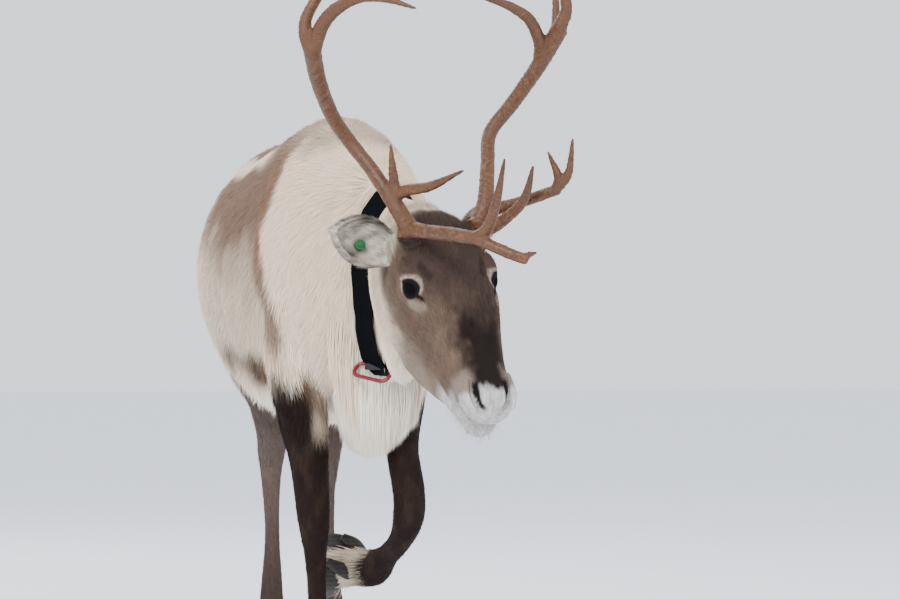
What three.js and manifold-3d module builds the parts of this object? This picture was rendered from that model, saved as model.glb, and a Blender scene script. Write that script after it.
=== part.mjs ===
// A life-size walking reindeer with full antlers, a collar and an ear tag, as a still museum model.
// Millimetres, +Z up. The animal faces -Y, so its left side is +X, and its feet stand on Z = 0.
import * as THREE from 'three';
import { mergeVertices } from 'three/addons/utils/BufferGeometryUtils.js';
import Module from 'manifold-3d';

const wasm = await Module();
wasm.setup();

// Driving dimensions
const GAP = 0.35;                // room between neighbouring pieces
const POLL = [68, -291, 752];    // midway between the antler bases, on the brow
const HEAD_PITCH = 55.5;         // degrees that the face points below level
const HEAD_YAW = 17.5;           // degrees that the head turns to the animal's left
const HEAD_ROLL = -8;            // degrees that the head leans to its right
const EYE_RADIUS = 17;
const EYE_PLACE = [57, -77, -36];
const LID_THICK = 4;
const EYE_OPENING = [15.5, 12.5, 24];  // half-sizes along, up and out
const COLLAR_THICK = 3.4;
const CARPUS_CUT = 300;          // height at which the right foreleg is parted
const MANE_SEED = 7;

const rad = THREE.MathUtils.degToRad;
const v3 = (p) => new THREE.Vector3(...p);
const ACROSS = [-1, 0, 0];       // side of the animal from which level cross-sections are laid out

// Seeded random numbers, so that every build is the same
function randomFrom(seed) {
  let state = seed;
  return (low = 0, high = 1) => {
    state = (state * 1664525 + 1013904223) % 4294967296;
    return low + (high - low) * (state / 4294967296);
  };
}

// A closed geometry as a solid for joining and cutting
function solid(geometry) {
  const bare = geometry.clone();
  bare.deleteAttribute('normal');
  bare.deleteAttribute('uv');
  const merged = mergeVertices(bare, 1e-3);
  return new wasm.Manifold(new wasm.Mesh({
    numProp: 3,
    vertProperties: new Float32Array(merged.getAttribute('position').array),
    triVerts: new Uint32Array(merged.index.array),
  }));
}

// A solid back as a geometry
function geometryOf(manifold) {
  const mesh = manifold.getMesh();
  const geometry = new THREE.BufferGeometry();
  const places = new Float32Array(mesh.numVert * 3);
  for (let i = 0; i < mesh.numVert; i++) {
    places.set(mesh.vertProperties.subarray(i * mesh.numProp, i * mesh.numProp + 3), i * 3);
  }
  geometry.setAttribute('position', new THREE.BufferAttribute(places, 3));
  geometry.setIndex(new THREE.BufferAttribute(mesh.triVerts, 1));
  geometry.computeVertexNormals();
  return geometry;
}

const moved = (manifold, matrix) => manifold.transform(matrix.elements);
const joined = (list) => list.reduce((whole, piece) => whole.add(piece));
const cutBy = (manifold, cutters) => cutters.reduce((rest, cutter) => rest.subtract(cutter), manifold);

// The largest closed body of a solid
function largest(manifold) {
  return manifold.decompose().reduce((best, one) => (one.volume() > best.volume() ? one : best));
}

// A point of a cross-section with its own reach to the sides, up and down. A roundness of 2 gives
// an ellipse, less gives a keel and more gives a box.
function sectionPoint(angle, sizes, roundUp, roundDown) {
  const c = Math.cos(angle);
  const s = Math.sin(angle);
  const power = 2 / (s >= 0 ? roundUp : roundDown);
  return [
    sizes.x * Math.sign(c) * Math.abs(c) ** power,
    (s >= 0 ? sizes.y : sizes.z) * Math.sign(s) * Math.abs(s) ** power,
  ];
}

// A direction that stays clear of a bending line, to lay its cross-sections out by
function sideOf(line) {
  const first = line.getTangent(0);
  const turn = first.clone().cross(line.getTangent(1));
  if (turn.length() > 0.2) return turn.normalize();
  const axis = Math.abs(first.z) < 0.8 ? new THREE.Vector3(0, 0, 1) : new THREE.Vector3(1, 0, 0);
  return axis.cross(first).normalize();
}

// A body drawn through stations [x, y, z, side, up, down] along a smooth line. It is a sphere whose
// rows are carried to the stations, with rounded ends of the lengths capStart and capEnd.
function body(stations, options = {}) {
  const {
    around = 16, steps = 3, side = null, capStart = 0, capEnd = 0,
    roundUp = 2, roundDown = 2, grow = 0,
  } = options;
  const line = new THREE.CatmullRomCurve3(stations.map((s) => v3(s.slice(0, 3))), false, 'catmullrom');
  const size = new THREE.CatmullRomCurve3(stations.map((s) => v3(s.slice(3, 6))), false, 'catmullrom');
  const sideways = side ? v3(side) : sideOf(line);
  const count = (stations.length - 1) * steps;
  const rows = [{ t: 0, out: -capStart - grow, scale: 0 }];
  if (capStart > 0) {
    rows.push({ t: 0, out: -(capStart + grow) * 0.87, scale: 0.5 });
    rows.push({ t: 0, out: -(capStart + grow) * 0.5, scale: 0.87 });
  }
  for (let k = 0; k <= count; k++) {
    const ends = (k === 0 && capStart === 0 ? -grow : 0) + (k === count && capEnd === 0 ? grow : 0);
    rows.push({ t: k / count, out: ends, scale: 1 });
  }
  if (capEnd > 0) {
    rows.push({ t: 1, out: (capEnd + grow) * 0.5, scale: 0.87 });
    rows.push({ t: 1, out: (capEnd + grow) * 0.87, scale: 0.5 });
  }
  rows.push({ t: 1, out: capEnd + grow, scale: 0 });
  const geometry = new THREE.SphereGeometry(1, around, rows.length - 1);
  const places = geometry.getAttribute('position');
  rows.forEach((row, k) => {
    const ahead = line.getTangent(row.t);
    const upward = sideways.clone().cross(ahead).normalize();
    const across = ahead.clone().cross(upward).normalize();
    const centre = line.getPoint(row.t).addScaledVector(ahead, row.out);
    const reach = size.getPoint(row.t).max(new THREE.Vector3(0.5, 0.5, 0.5)).addScalar(grow);
    reach.multiplyScalar(row.scale);
    for (let i = 0; i <= around; i++) {
      const angle = (2 * Math.PI * (i % around)) / around;
      const [a, h] = sectionPoint(angle, reach, roundUp, roundDown);
      const at = centre.clone().addScaledVector(across, a).addScaledVector(upward, h);
      places.setXYZ(k * (around + 1) + i, at.x, at.y, at.z);
    }
  });
  return solid(geometry);
}

function ball(centre, sizes, around = 16) {
  const geometry = new THREE.SphereGeometry(1, around, Math.round(around * 0.6));
  geometry.scale(...sizes);
  geometry.translate(...centre);
  return solid(geometry);
}

// A large block that keeps or takes away one side of a plane: it reaches from the plane along the
// given direction
function halfSpace(at, direction) {
  const reach = 2000;
  const geometry = new THREE.BoxGeometry(reach, reach, reach);
  geometry.translate(0, 0, reach / 2);
  const upward = new THREE.Vector3(0, 0, 1);
  const turn = new THREE.Quaternion().setFromUnitVectors(upward, v3(direction).normalize());
  geometry.applyQuaternion(turn);
  geometry.translate(...at);
  return solid(geometry);
}

// Parts a solid at a plane into the piece behind it and the piece beyond it
function parted(whole, at, direction) {
  const unit = v3(direction).normalize();
  const near = v3(at).addScaledVector(unit, -GAP / 2).toArray();
  const far = v3(at).addScaledVector(unit, GAP / 2).toArray();
  const back = unit.clone().negate().toArray();
  return [
    whole.subtract(halfSpace(near, unit.toArray())),
    whole.subtract(halfSpace(far, back)),
  ];
}

// Places on the head are given for its right side, and mirrored for its left
const mirrored = (point, side) => [point[0] * side, ...point.slice(1)];
const SIDES = [['right', -1], ['left', 1]];

const reindeer = new THREE.Group();
const head = new THREE.Group();
head.position.set(...POLL);
head.rotation.set(rad(HEAD_PITCH), rad(HEAD_ROLL), rad(HEAD_YAW), 'ZXY');
head.updateMatrix();
reindeer.add(head);

function paint(colour, roughness, metalness = 0) {
  return () => new THREE.MeshStandardMaterial({ color: colour, roughness, metalness });
}

const creamCoat = paint(0xd9cfbf, 0.95);
const greyCoat = paint(0x6b5b4c, 0.95);
const darkCoat = paint(0x3a2c26, 0.95);
const antlerBone = paint(0x7a4f30, 0.55);
const hoofHorn = paint(0x363c44, 0.5);
const eyeGloss = paint(0x0b0a0c, 0.08);
const strapBlack = paint(0x11151b, 0.6);
const clipRed = paint(0x8f1f22, 0.4);
const tagGreen = paint(0x0e7a3c, 0.45);

function add(parent, name, manifold, material) {
  const mesh = new THREE.Mesh(geometryOf(largest(manifold)), material());
  mesh.name = name;
  parent.add(mesh);
  return mesh;
}

// Trunk, from the rump to the chest
const TRUNK = [
  [0, 850, 722, 86, 112, 125],
  [0, 795, 708, 130, 172, 178],
  [0, 700, 700, 150, 207, 198],
  [0, 580, 692, 166, 222, 204],
  [0, 450, 694, 174, 218, 228],
  [0, 310, 700, 168, 228, 242],
  [0, 180, 708, 150, 233, 242],
  [0, 60, 698, 132, 205, 222],
  [2, -35, 684, 114, 160, 186],
  [3, -66, 681, 80, 108, 134],
];

function trunkForm(grow = 0) {
  return body(TRUNK, {
    around: 24, steps: 2, side: ACROSS, capStart: 26, capEnd: 14, roundUp: 1.85, roundDown: 2.1, grow,
  });
}

// Neck, from inside the shoulders to inside the head
const NECK = [
  [0, 80, 690, 118, 226, 196],
  [8, -10, 690, 108, 190, 180],
  [24, -80, 690, 84, 152, 158],
  [38, -135, 690, 69, 120, 136],
  [48, -180, 690, 63, 96, 110],
  [55, -225, 690, 54, 74, 78],
];

function neckForm(grow = 0) {
  return body(NECK, { around: 16, steps: 2, side: ACROSS, capStart: 10, capEnd: 10, grow });
}

// Head, in its own frame: the nose lies at -Y and the brow at +Z. Each row is
// [y, middle height, half-width, rise, drop].
const SKULL = [
  [60, -84, 50, 40, 52],
  [30, -78, 67, 61, 98],
  [-10, -70, 76, 72, 124],
  [-50, -65, 80, 70, 144],
  [-90, -58, 78, 60, 150],
  [-130, -58, 71, 56, 148],
  [-170, -58, 61, 52, 127],
  [-210, -56, 52, 48, 96],
  [-245, -50, 46, 40, 58],
  [-275, -45, 46, 33, 28],
  [-298, -45, 40, 28, 22],
];
const JAW = [
  [-120, -118, 54, 40, 60],
  [-180, -110, 48, 36, 48],
  [-225, -100, 43, 30, 40],
  [-262, -92, 38, 25, 31],
  [-290, -88, 30, 20, 27],
];
const headRow = ([y, z, side, up, down]) => [0, y, z, side, up, down];
const BROW_RIDGE = { at: [64, -58, -30], sizes: [18, 30, 15] };

function headForm(grow = 0) {
  const skull = body(SKULL.map(headRow), {
    around: 18, steps: 1, side: ACROSS, capStart: 14, capEnd: 16, roundUp: 2.2, roundDown: 2.5, grow,
  });
  const jaw = body(JAW.map(headRow), {
    around: 14, steps: 1, side: ACROSS, capStart: 10, capEnd: 14, roundUp: 2.3, grow,
  });
  const extras = SIDES.flatMap(([, side]) => [
    ball(mirrored(BROW_RIDGE.at, side), BROW_RIDGE.sizes.map((size) => size + grow), 10),
    body([
      [...mirrored([44, -4, -20], side), 21, 21, 21],
      [...mirrored([56, -5, 4], side), 18, 18, 18],
    ], { around: 10, steps: 1, capStart: 4, capEnd: 2, grow }),
  ]);
  return joined([skull, jaw, ...extras]);
}

// The outward direction of an eye, and the frame of its opening
function eyeMatrix(side) {
  const outward = v3(mirrored([0.84, -0.42, 0.34], side)).normalize();
  const forward = v3(mirrored([-0.5, -0.8, 0.3], side));
  const upward = outward.clone().cross(forward).normalize().multiplyScalar(-side);
  const along = upward.clone().cross(outward).normalize();
  const matrix = new THREE.Matrix4().makeBasis(along, upward, outward);
  return matrix.setPosition(v3(mirrored(EYE_PLACE, side)));
}

function eyeOpening(side) {
  return moved(ball([0, 0, 28], EYE_OPENING, 10), eyeMatrix(side));
}

// Eyelids: a shell over the eyeball with an almond opening
function lids(side) {
  const shell = ball(mirrored(EYE_PLACE, side), Array(3).fill(EYE_RADIUS + LID_THICK), 12);
  return shell.subtract(eyeOpening(side));
}

// The slit and wing of one nostril
function nostrilSlit(side) {
  const path = [[31, -264, -8, 3], [33, -284, -17, 5], [27, -303, -27, 7], [17, -318, -33, 4]];
  const stations = path.map(([x, y, z, r]) => [...mirrored([x, y, z], side), r, r * 1.4, r * 1.4]);
  return body(stations, { around: 7, steps: 1, capStart: 2, capEnd: 3 });
}

function nostrilWing(side) {
  const path = [[31, -262, -20, 9], [32, -284, -30, 13], [27, -302, -36, 12]];
  const stations = path.map(([x, y, z, r]) => [...mirrored([x, y, z], side), r, r, r]);
  return body(stations, { around: 8, steps: 1, capStart: 8, capEnd: 8 });
}

// The line of the mouth: a thin bent sheet between the lips
function mouthLine() {
  const path = [[-238, -82, 60], [-262, -74, 60], [-285, -67, 60], [-330, -63, 60]];
  const stations = path.map(([y, z, half]) => [0, y, z, half, 1.4, 1.4]);
  const sheet = body(stations, { around: 8, steps: 1, side: ACROSS, roundUp: 6, roundDown: 6 });
  const deep = [[0, -150, -80, 26, 60, 60], [0, -262, -74, 22, 60, 60]];
  const inside = body(deep, { around: 8, steps: 1, side: ACROSS });
  return sheet.subtract(inside);
}

function headSolid() {
  const flesh = joined([headForm(), ...SIDES.flatMap(([, side]) => [lids(side), nostrilWing(side)])]);
  const eyeSizes = Array(3).fill(EYE_RADIUS + GAP);
  const eyes = SIDES.map(([, side]) => ball(mirrored(EYE_PLACE, side), eyeSizes, 12));
  const cuts = [mouthLine(), ...SIDES.map(([, side]) => nostrilSlit(side))];
  const openings = SIDES.map(([, side]) => eyeOpening(side));
  return largest(cutBy(flesh, [...eyes, ...cuts, ...openings]));
}

// Ears: a leaf-shaped cup from its root to its tip, open to the front
function ear(root, tip, facing) {
  const start = v3(root);
  const axis = v3(tip).sub(start);
  const length = axis.length();
  axis.normalize();
  const side = axis.clone().cross(v3(facing)).normalize().toArray();
  const leaf = [[0, 20], [0.22, 28], [0.45, 39], [0.68, 37], [0.87, 23], [0.97, 9]];
  const station = (inset, rise) => ([t, half]) => {
    const depth = half * 0.55 + 3;
    return [...start.clone().addScaledVector(axis, t * length).toArray(),
      Math.max(half - inset, 1), rise, Math.max(depth - inset, 1)];
  };
  const outer = body(leaf.map(station(0, 7)), { around: 9, steps: 2, side, capStart: 6, capEnd: 4 });
  const cup = leaf.slice(1).map(([t, half]) => [t - 0.03, half]);
  const inner = body(cup.map(station(5, 40)), { around: 8, steps: 2, side, capStart: 4 });
  return outer.subtract(inner);
}

const EARS = {
  right: { root: [-48, -6, -54], tip: [-158, 41, -42], facing: [-0.07, -0.4, 0.91] },
  left: { root: [48, 2, -56], tip: [140, 76, -104], facing: [0.55, -0.6, 0.5] },
};

// Ear tag: a round button through the right ear
const TAG_PLACE = [-112, 22, -60];
const TAG_RADIUS = 8.5;
const TAG_THICK = 7;

function tagButton(grow = 0) {
  const radius = TAG_RADIUS + grow;
  const geometry = new THREE.CylinderGeometry(radius, radius, TAG_THICK + 2 * grow, 16);
  const facing = v3(EARS.right.facing).normalize();
  geometry.applyQuaternion(new THREE.Quaternion().setFromUnitVectors(new THREE.Vector3(0, 1, 0), facing));
  geometry.translate(...TAG_PLACE);
  return solid(geometry);
}

// Antlers, in the head's frame. A branch runs through [x, y, z, radius].
function branch(points, options = {}) {
  const stations = points.map(([x, y, z, r]) => [x, y, z, r, r, r]);
  return body(stations, { around: 6, steps: 2, capStart: 3, capEnd: 2, ...options });
}

const BEAM = [
  [-56, -5, 6, 16], [-62, 8, 12, 14], [-75, 35, 23, 12.5], [-96, 98, 28, 11], [-116, 150, 29, 11],
  [-149, 176, 66, 11.5], [-182, 201, 127, 12.5], [-204, 223, 188, 14],
];
const mirroredBranch = (points) => points.map(([x, y, z, r]) => [-x, y, z, r]);

// Each antler names its branches, and each branch but the beam grows from an earlier one
const ANTLERS = {
  right: {
    beam: BEAM,
    crown: [
      [[-203, 221, 180, 12], [-210, 240, 195, 11], [-205, 263, 212, 9], [-165, 307, 254, 8], [-138, 352, 280, 7],
        [-124, 398, 296, 4]],
      [[-200, 218, 182, 12], [-192, 235, 220, 11], [-176, 239, 256, 10], [-154, 228, 293, 8], [-129, 203, 321, 6],
        [-97, 168, 341, 2.5]],
    ],
    brow: [
      [[-58, -6, 14, 12], [-48, -34, 46, 11], [-30, -64, 80, 11], [-10, -98, 116, 10]],
      [[-12, -94, 112, 9], [0, -98, 140, 9], [9, -76, 181, 7], [18, -38, 229, 2.5]],
      [[-12, -96, 114, 9.5], [2, -120, 128, 8.5], [24, -146, 139, 8.5], [44, -160, 142, 8]],
      [[40, -156, 141, 7], [50, -152, 142, 5], [63, -149, 142, 2]],
    ],
    bez: [
      [[-77, 44, 22, 10], [-65, 41, 50, 9], [-42, 18, 92, 7.5], [-10, 5, 146, 2.5]],
      [[-74, 48, 34, 9], [-77, 77, 58, 6.5], [-80, 103, 83, 2.5]],
    ],
  },
  left: {
    beam: mirroredBranch(BEAM),
    crown: [
      [[202, 219, 180, 12], [204, 225, 199, 11], [211, 240, 220, 9], [203, 283, 254, 8], [197, 323, 270, 7],
        [198, 371, 282, 4]],
      [[184, 205, 132, 11], [178, 218, 163, 10], [155, 234, 200, 9], [131, 241, 218, 8], [104, 245, 233, 6.5],
        [59, 252, 247, 2.5]],
      [[198, 210, 160, 9], [210, 243, 169, 7], [222, 287, 177, 5.5], [229, 324, 178, 2.5]],
    ],
    brow: [
      [[57, -5, 8, 12], [68, -18, 19, 10], [87, -20, 51, 9], [104, -14, 88, 7.5], [113, 14, 129, 2.5]],
    ],
    bez: [
      [[72, 26, 18, 11], [85, 13, 25, 10], [119, -2, 64, 9], [153, -15, 106, 8.5]],
      [[150, -14, 102, 8], [152, -3, 122, 7], [138, 27, 144, 2.5]],
      [[150, -14, 104, 8], [166, -4, 130, 6.5], [173, 33, 165, 2.5]],
    ],
  },
};

function antlerNodes(name, antler, skull) {
  const nodes = {};
  const beamAt = (index) => antler.beam[index].slice(0, 3);
  const ahead = v3(beamAt(5)).sub(v3(beamAt(4))).normalize().toArray();
  const stem = branch(antler.beam, { around: 8, capStart: 10 });
  const [lower, upper] = parted(stem, beamAt(4), ahead);
  nodes.beam_lower = lower.subtract(skull);
  nodes.beam_upper = upper;
  const beam = branch(antler.beam, { around: 8, capStart: 10, grow: GAP });
  const tines = (list) => joined(list.map((points) => branch(points)));
  nodes.brow_tine = tines(antler.brow).subtract(beam).subtract(skull);
  nodes.bez_tine = tines(antler.bez).subtract(beam);
  antler.crown.forEach((points, index) => {
    const earlier = antler.crown.slice(0, index).map((other) => branch(other, { grow: GAP }));
    nodes[`crown_${['main', 'front', 'back'][index]}`] = cutBy(branch(points), [beam, ...earlier]);
  });
  return Object.entries(nodes).map(([part, manifold]) => [`antler_${name}_${part}`, manifold]);
}

// Legs. Each is [x, y, z, half-width, reach forward, reach back] down to the pastern, and its foot
// is placed by the point under it, the way its toes point and the way its soles face.
const LEGS = {
  front_right: {
    stations: [
      [-92, 90, 650, 50, 92, 84], [-96, 78, 560, 50, 78, 72], [-88, 52, 480, 44, 58, 54],
      [-83, 14, 390, 34, 42, 38], [-80, -10, 300, 29, 34, 31], [-76, -6, 240, 21, 24, 25],
      [-73, -4, 170, 18.5, 21, 22], [-71, -8, 112, 26, 27, 28], [-70, -18, 62, 25, 26, 26],
    ],
    cut: [[-80, -10, CARPUS_CUT], [0, 0, -1]],
    foot: { at: [-70, -24, 0], toe: [-0.1, -1, 0], sole: [0, 0, -1] },
  },
  front_left: {
    stations: [
      [84, 85, 640, 48, 92, 84], [86, 72, 550, 46, 76, 72], [74, 42, 482, 38, 56, 52],
      [58, -30, 410, 29, 42, 38], [56, -92, 345, 29, 33, 32], [52, -108, 306, 28, 30, 31],
      [50, -58, 270, 22, 24, 25], [42, 10, 240, 21, 22, 24], [30, 62, 220, 31, 34, 33],
      [6, 104, 216, 28, 28, 28],
    ],
    cut: [[54, -100, 312], [0, 0.55, -0.83]],
    foot: { at: [-38, 150, 223.8], toe: [0.233, 0.725, -0.646], sole: [-0.777, 0.528, 0.27] },
  },
  hind_right: {
    stations: [
      [-80, 725, 690, 60, 122, 100], [-66, 690, 590, 57, 118, 100], [-22, 745, 490, 40, 82, 70],
      [-4, 800, 425, 31, 50, 50], [2, 842, 375, 26, 36, 38], [3, 848, 330, 20, 26, 29],
      [4, 842, 235, 16.5, 20, 22], [2, 836, 116, 25, 27, 28], [2, 824, 64, 25, 26, 26],
    ],
    cut: [[0, 842, 352], [0, 0, -1]],
    foot: { at: [2, 816, 0], toe: [-0.05, -1, 0], sole: [0, 0, -1] },
  },
  hind_left: {
    stations: [
      [84, 705, 690, 60, 122, 100], [76, 620, 590, 62, 112, 96], [58, 596, 485, 41, 74, 66],
      [54, 598, 412, 30, 46, 46], [52, 606, 358, 26, 36, 38], [49, 588, 316, 21, 26, 29],
      [42, 520, 222, 17, 20, 22], [36, 448, 118, 25, 27, 28], [34, 424, 66, 25, 26, 26],
    ],
    cut: [[51, 598, 338], [-0.05, -0.4, -0.9]],
    foot: { at: [34, 412, 0], toe: [0.08, -1, 0], sole: [0, 0, -1] },
  },
};

const footMatrices = {};
function footMatrix({ at, toe, sole }) {
  const up = v3(sole).negate().normalize();
  const across = v3(toe).negate().cross(up).normalize();
  const back = up.clone().cross(across).normalize();
  return new THREE.Matrix4().makeBasis(across, back, up).setPosition(v3(at));
}

// One of the two main claws of a foot, flat below, with its toe bent inwards
function claw(side, grow = 0) {
  const stations = [
    [side * 25, 34, 24, 15, 20, 30], [side * 27, 12, 25, 20, 28, 32], [side * 26, -16, 20, 20, 24, 30],
    [side * 21, -40, 13, 14, 15, 22],
  ];
  const horn = body(stations, { around: 8, steps: 1, side: ACROSS, capStart: 8, capEnd: 12, grow });
  return horn.subtract(halfSpace([0, 0, -grow], [0, 0, -1]));
}

function dewClaw(side, grow = 0) {
  const stations = [
    [side * 22, 24, 70, 9, 9, 9], [side * 26, 41, 53, 11, 10, 10], [side * 27, 50, 32, 7, 5, 5],
  ];
  return body(stations, { around: 6, steps: 1, side: ACROSS, grow });
}

function legNodes(name, leg, trunk) {
  const matrix = footMatrix(leg.foot);
  footMatrices[name] = matrix;
  const shape = { around: 10, steps: 2, side: ACROSS, capStart: 20, capEnd: 14 };
  const form = body(leg.stations, shape);
  const horn = (grow) => [claw(-1, grow), claw(1, grow)].map((one) => moved(one, matrix));
  const [upper, lower] = parted(largest(cutBy(form, [trunk, ...horn(GAP)])), ...leg.cut);
  const grown = body(leg.stations, { ...shape, grow: GAP });
  return { upper, lower, grown };
}

// Mane: overlapping flat locks that hang from the throat, over a short core
function maneLock(root, out, down, length, width, thick, sway) {
  const across = v3(out).cross(v3(down)).normalize();
  const at = (sink, fall, drift) => v3(root).addScaledVector(v3(out), sink)
    .addScaledVector(v3(down), fall * length).addScaledVector(across, drift * sway);
  const stations = [
    [...at(-18, -0.1, 0).toArray(), width * 0.5, thick * 0.8, thick * 0.8],
    [...at(1, 0.3, 0.25).toArray(), width, thick, thick],
    [...at(5, 0.68, 0.7).toArray(), width * 0.66, thick * 0.7, thick * 0.7],
    [...at(0, 1, 1).toArray(), 1.4, 1.1, 1.1],
  ];
  return body(stations, { around: 4, steps: 1, side: across.toArray() });
}

const MANE_CORE = [
  [44, -165, 600, 34, 40, 40], [34, -120, 560, 46, 60, 60], [22, -70, 540, 56, 60, 66],
  [12, -10, 535, 60, 60, 60], [6, 40, 540, 56, 50, 45],
];

function maneLocks() {
  const random = randomFrom(MANE_SEED);
  const spine = new THREE.CatmullRomCurve3(NECK.slice(1).map((s) => v3(s.slice(0, 3))));
  const girth = new THREE.CatmullRomCurve3(NECK.slice(1).map((s) => v3(s.slice(3, 6))));
  const locks = [];
  const rowCount = 5;
  const perRow = 8;
  for (let row = 0; row < rowCount; row++) {
    const t = 0.05 + (0.72 * row) / (rowCount - 1);
    const centre = spine.getPoint(t);
    const reach = girth.getPoint(t);
    const ahead = spine.getTangent(t);
    for (let k = 0; k < perRow; k++) {
      const turn = rad(-64 + (124 * (k + (row % 2 ? 0.5 : 0) + random(-0.15, 0.15))) / (perRow - 1));
      const across = new THREE.Vector3(-1, 0, 0);
      const out = across.clone().multiplyScalar(Math.sin(turn)).add(new THREE.Vector3(0, 0, -Math.cos(turn)));
      const root = centre.clone().addScaledVector(across, reach.x * Math.sin(turn));
      root.z -= reach.z * Math.cos(turn) * 0.96;
      root.addScaledVector(ahead, random(-7, 7));
      const under = Math.cos(turn) ** 2;
      const down = new THREE.Vector3(0.25 * Math.sin(turn) * -1, 0.28 + 0.25 * t, -1).normalize();
      const length = (66 + 76 * under) * random(0.85, 1.15);
      locks.push(maneLock(root.toArray(), out.toArray(), down.toArray(), length, random(17, 23), random(5, 7),
        random(-9, 9)));
    }
  }
  return locks;
}

// Collar: a strap that follows the neck and sags under the throat
const STRAP_SAG = [
  [22, -62, 690, 72, 60, 166], [29, -84, 690, 65, 60, 163], [36, -110, 690, 58, 60, 159],
  [42, -136, 690, 53, 60, 154], [47, -158, 690, 46, 60, 148],
];
const STRAP_REAR = [27, -92, 690];
const STRAP_FRONT = [38, -134, 690];
const STRAP_SEAT = -13;          // the strap presses this far into the coat
const GROOVE_DEPTH = 12;
const GROOVE_BOTTOM = 570;

function strapForm(grow = 0, thick = COLLAR_THICK) {
  const ring = { around: 16, steps: 1, side: ACROSS, roundDown: 3 };
  const hull = (extra) => neckForm(STRAP_SEAT + extra).add(body(STRAP_SAG, { ...ring, grow: extra }));
  const along = v3(STRAP_FRONT).sub(v3(STRAP_REAR)).normalize();
  const rear = v3(STRAP_REAR).addScaledVector(along, -grow).toArray();
  const front = v3(STRAP_FRONT).addScaledVector(along, grow).toArray();
  return hull(thick + grow)
    .subtract(hull(-grow))
    .subtract(halfSpace(rear, along.clone().negate().toArray()))
    .subtract(halfSpace(front, along.toArray()));
}

// The hollow that the strap presses into the coat above the throat
function strapGroove() {
  return strapForm(GAP, COLLAR_THICK + GROOVE_DEPTH).subtract(halfSpace([0, 0, GROOVE_BOTTOM], [0, 0, -1]));
}

// The red clip and the black keeper through which the strap runs, low on its right side
const CLIP_PLACE = [-8, -124, 532];
const CLIP_ALONG = [0.7, -0.68, -0.2];
const CLIP_UP = [-0.45, -0.6, 0.66];
const KEEPER_PLACE = [0, -116, 541];

function fittingMatrix(place, along, upward) {
  const x = v3(along).normalize();
  const y = v3(upward).cross(x).normalize();
  return new THREE.Matrix4().makeBasis(x, y, x.clone().cross(y)).setPosition(v3(place));
}

function clipFrame(grow = 0) {
  const outline = new THREE.Shape();
  const hole = new THREE.Path();
  roundedRectangle(outline, 70 + 2 * grow, 33 + 2 * grow, 13);
  roundedRectangle(hole, 56 - 2 * grow, 19 - 2 * grow, 7);
  outline.holes.push(hole);
  const geometry = new THREE.ExtrudeGeometry(outline, {
    depth: 5 + 2 * grow, bevelEnabled: false, curveSegments: 2,
  });
  geometry.translate(0, 0, -2.5 - grow);
  return moved(solid(geometry), fittingMatrix(CLIP_PLACE, CLIP_ALONG, CLIP_UP));
}

function keeperBand(grow = 0) {
  const outline = new THREE.Shape();
  roundedRectangle(outline, 40 + 2 * grow, 14 + 2 * grow, 5);
  const geometry = new THREE.ExtrudeGeometry(outline, {
    depth: 11 + 2 * grow, bevelEnabled: false, curveSegments: 2,
  });
  geometry.translate(0, 0, -5.5 - grow);
  return moved(solid(geometry), fittingMatrix(KEEPER_PLACE, [CLIP_ALONG[0], CLIP_ALONG[1], 0], [0, 0, 1]));
}

function roundedRectangle(path, width, height, corner) {
  const x = width / 2 - corner;
  const y = height / 2 - corner;
  path.absarc(x, y, corner, 0, Math.PI / 2);
  path.absarc(-x, y, corner, Math.PI / 2, Math.PI);
  path.absarc(-x, -y, corner, Math.PI, 1.5 * Math.PI);
  path.absarc(x, -y, corner, 1.5 * Math.PI, 2 * Math.PI);
  path.closePath();
}

// Tail: short and flat, hanging over the rump
const TAIL = [
  [0, 828, 806, 30, 26, 26], [0, 862, 786, 34, 24, 24], [0, 877, 748, 34, 20, 20], [0, 883, 706, 25, 15, 15],
  [0, 878, 668, 8, 6, 6],
];

function tailForm() {
  return body(TAIL, { around: 10, steps: 1, side: ACROSS, capStart: 6, capEnd: 4 });
}

// Build every node, each cut clear of what it grows from
const skullLocal = headSolid();
const skullGrownLocal = headForm(GAP);
const toBody = head.matrix;
const headGrown = moved(skullGrownLocal, toBody);
const neckGrownLocal = moved(neckForm(GAP), toBody.clone().invert());
const trunkGrown = trunkForm(GAP);

const legParts = Object.fromEntries(
  Object.entries(LEGS).map(([name, leg]) => [name, legNodes(name, leg, trunkGrown)]),
);

const strap = strapForm();
const strapGrown = strapForm(GAP);
const strapGrownLocal = moved(strapGrown, toBody.clone().invert());
const core = body(MANE_CORE, { around: 12, steps: 1, side: ACROSS, capStart: 8 });
const mane = joined([neckForm(), core, ...maneLocks()]);
const legsGrown = Object.values(legParts).map((leg) => leg.grown);
const fittings = [strapGrown, strapGroove(), clipFrame(GAP), keeperBand(GAP)];
const neck = largest(cutBy(mane, [trunkGrown, headGrown, ...fittings, ...legsGrown.slice(0, 2)]));

add(reindeer, 'torso', trunkForm(), creamCoat);
add(reindeer, 'neck', neck, creamCoat);
add(head, 'head', skullLocal.subtract(strapGrownLocal), greyCoat);
SIDES.forEach(([name, side]) => {
  add(head, `eye_${name}`, ball(mirrored(EYE_PLACE, side), Array(3).fill(EYE_RADIUS), 12), eyeGloss);
});
Object.entries(EARS).forEach(([name, { root, tip, facing }]) => {
  const antlerBase = branch(ANTLERS[name].beam, { around: 8, capStart: 10, grow: GAP });
  const neighbours = [skullGrownLocal, neckGrownLocal, strapGrownLocal, antlerBase];
  if (name === 'right') neighbours.push(tagButton(GAP));
  add(head, `ear_${name}`, cutBy(ear(root, tip, facing), neighbours), creamCoat);
});
add(head, 'ear_tag', tagButton(), tagGreen);
Object.entries(ANTLERS).forEach(([name, antler]) => {
  antlerNodes(name, antler, skullGrownLocal).forEach(([node, manifold]) => {
    add(head, node, manifold, antlerBone);
  });
});
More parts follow.
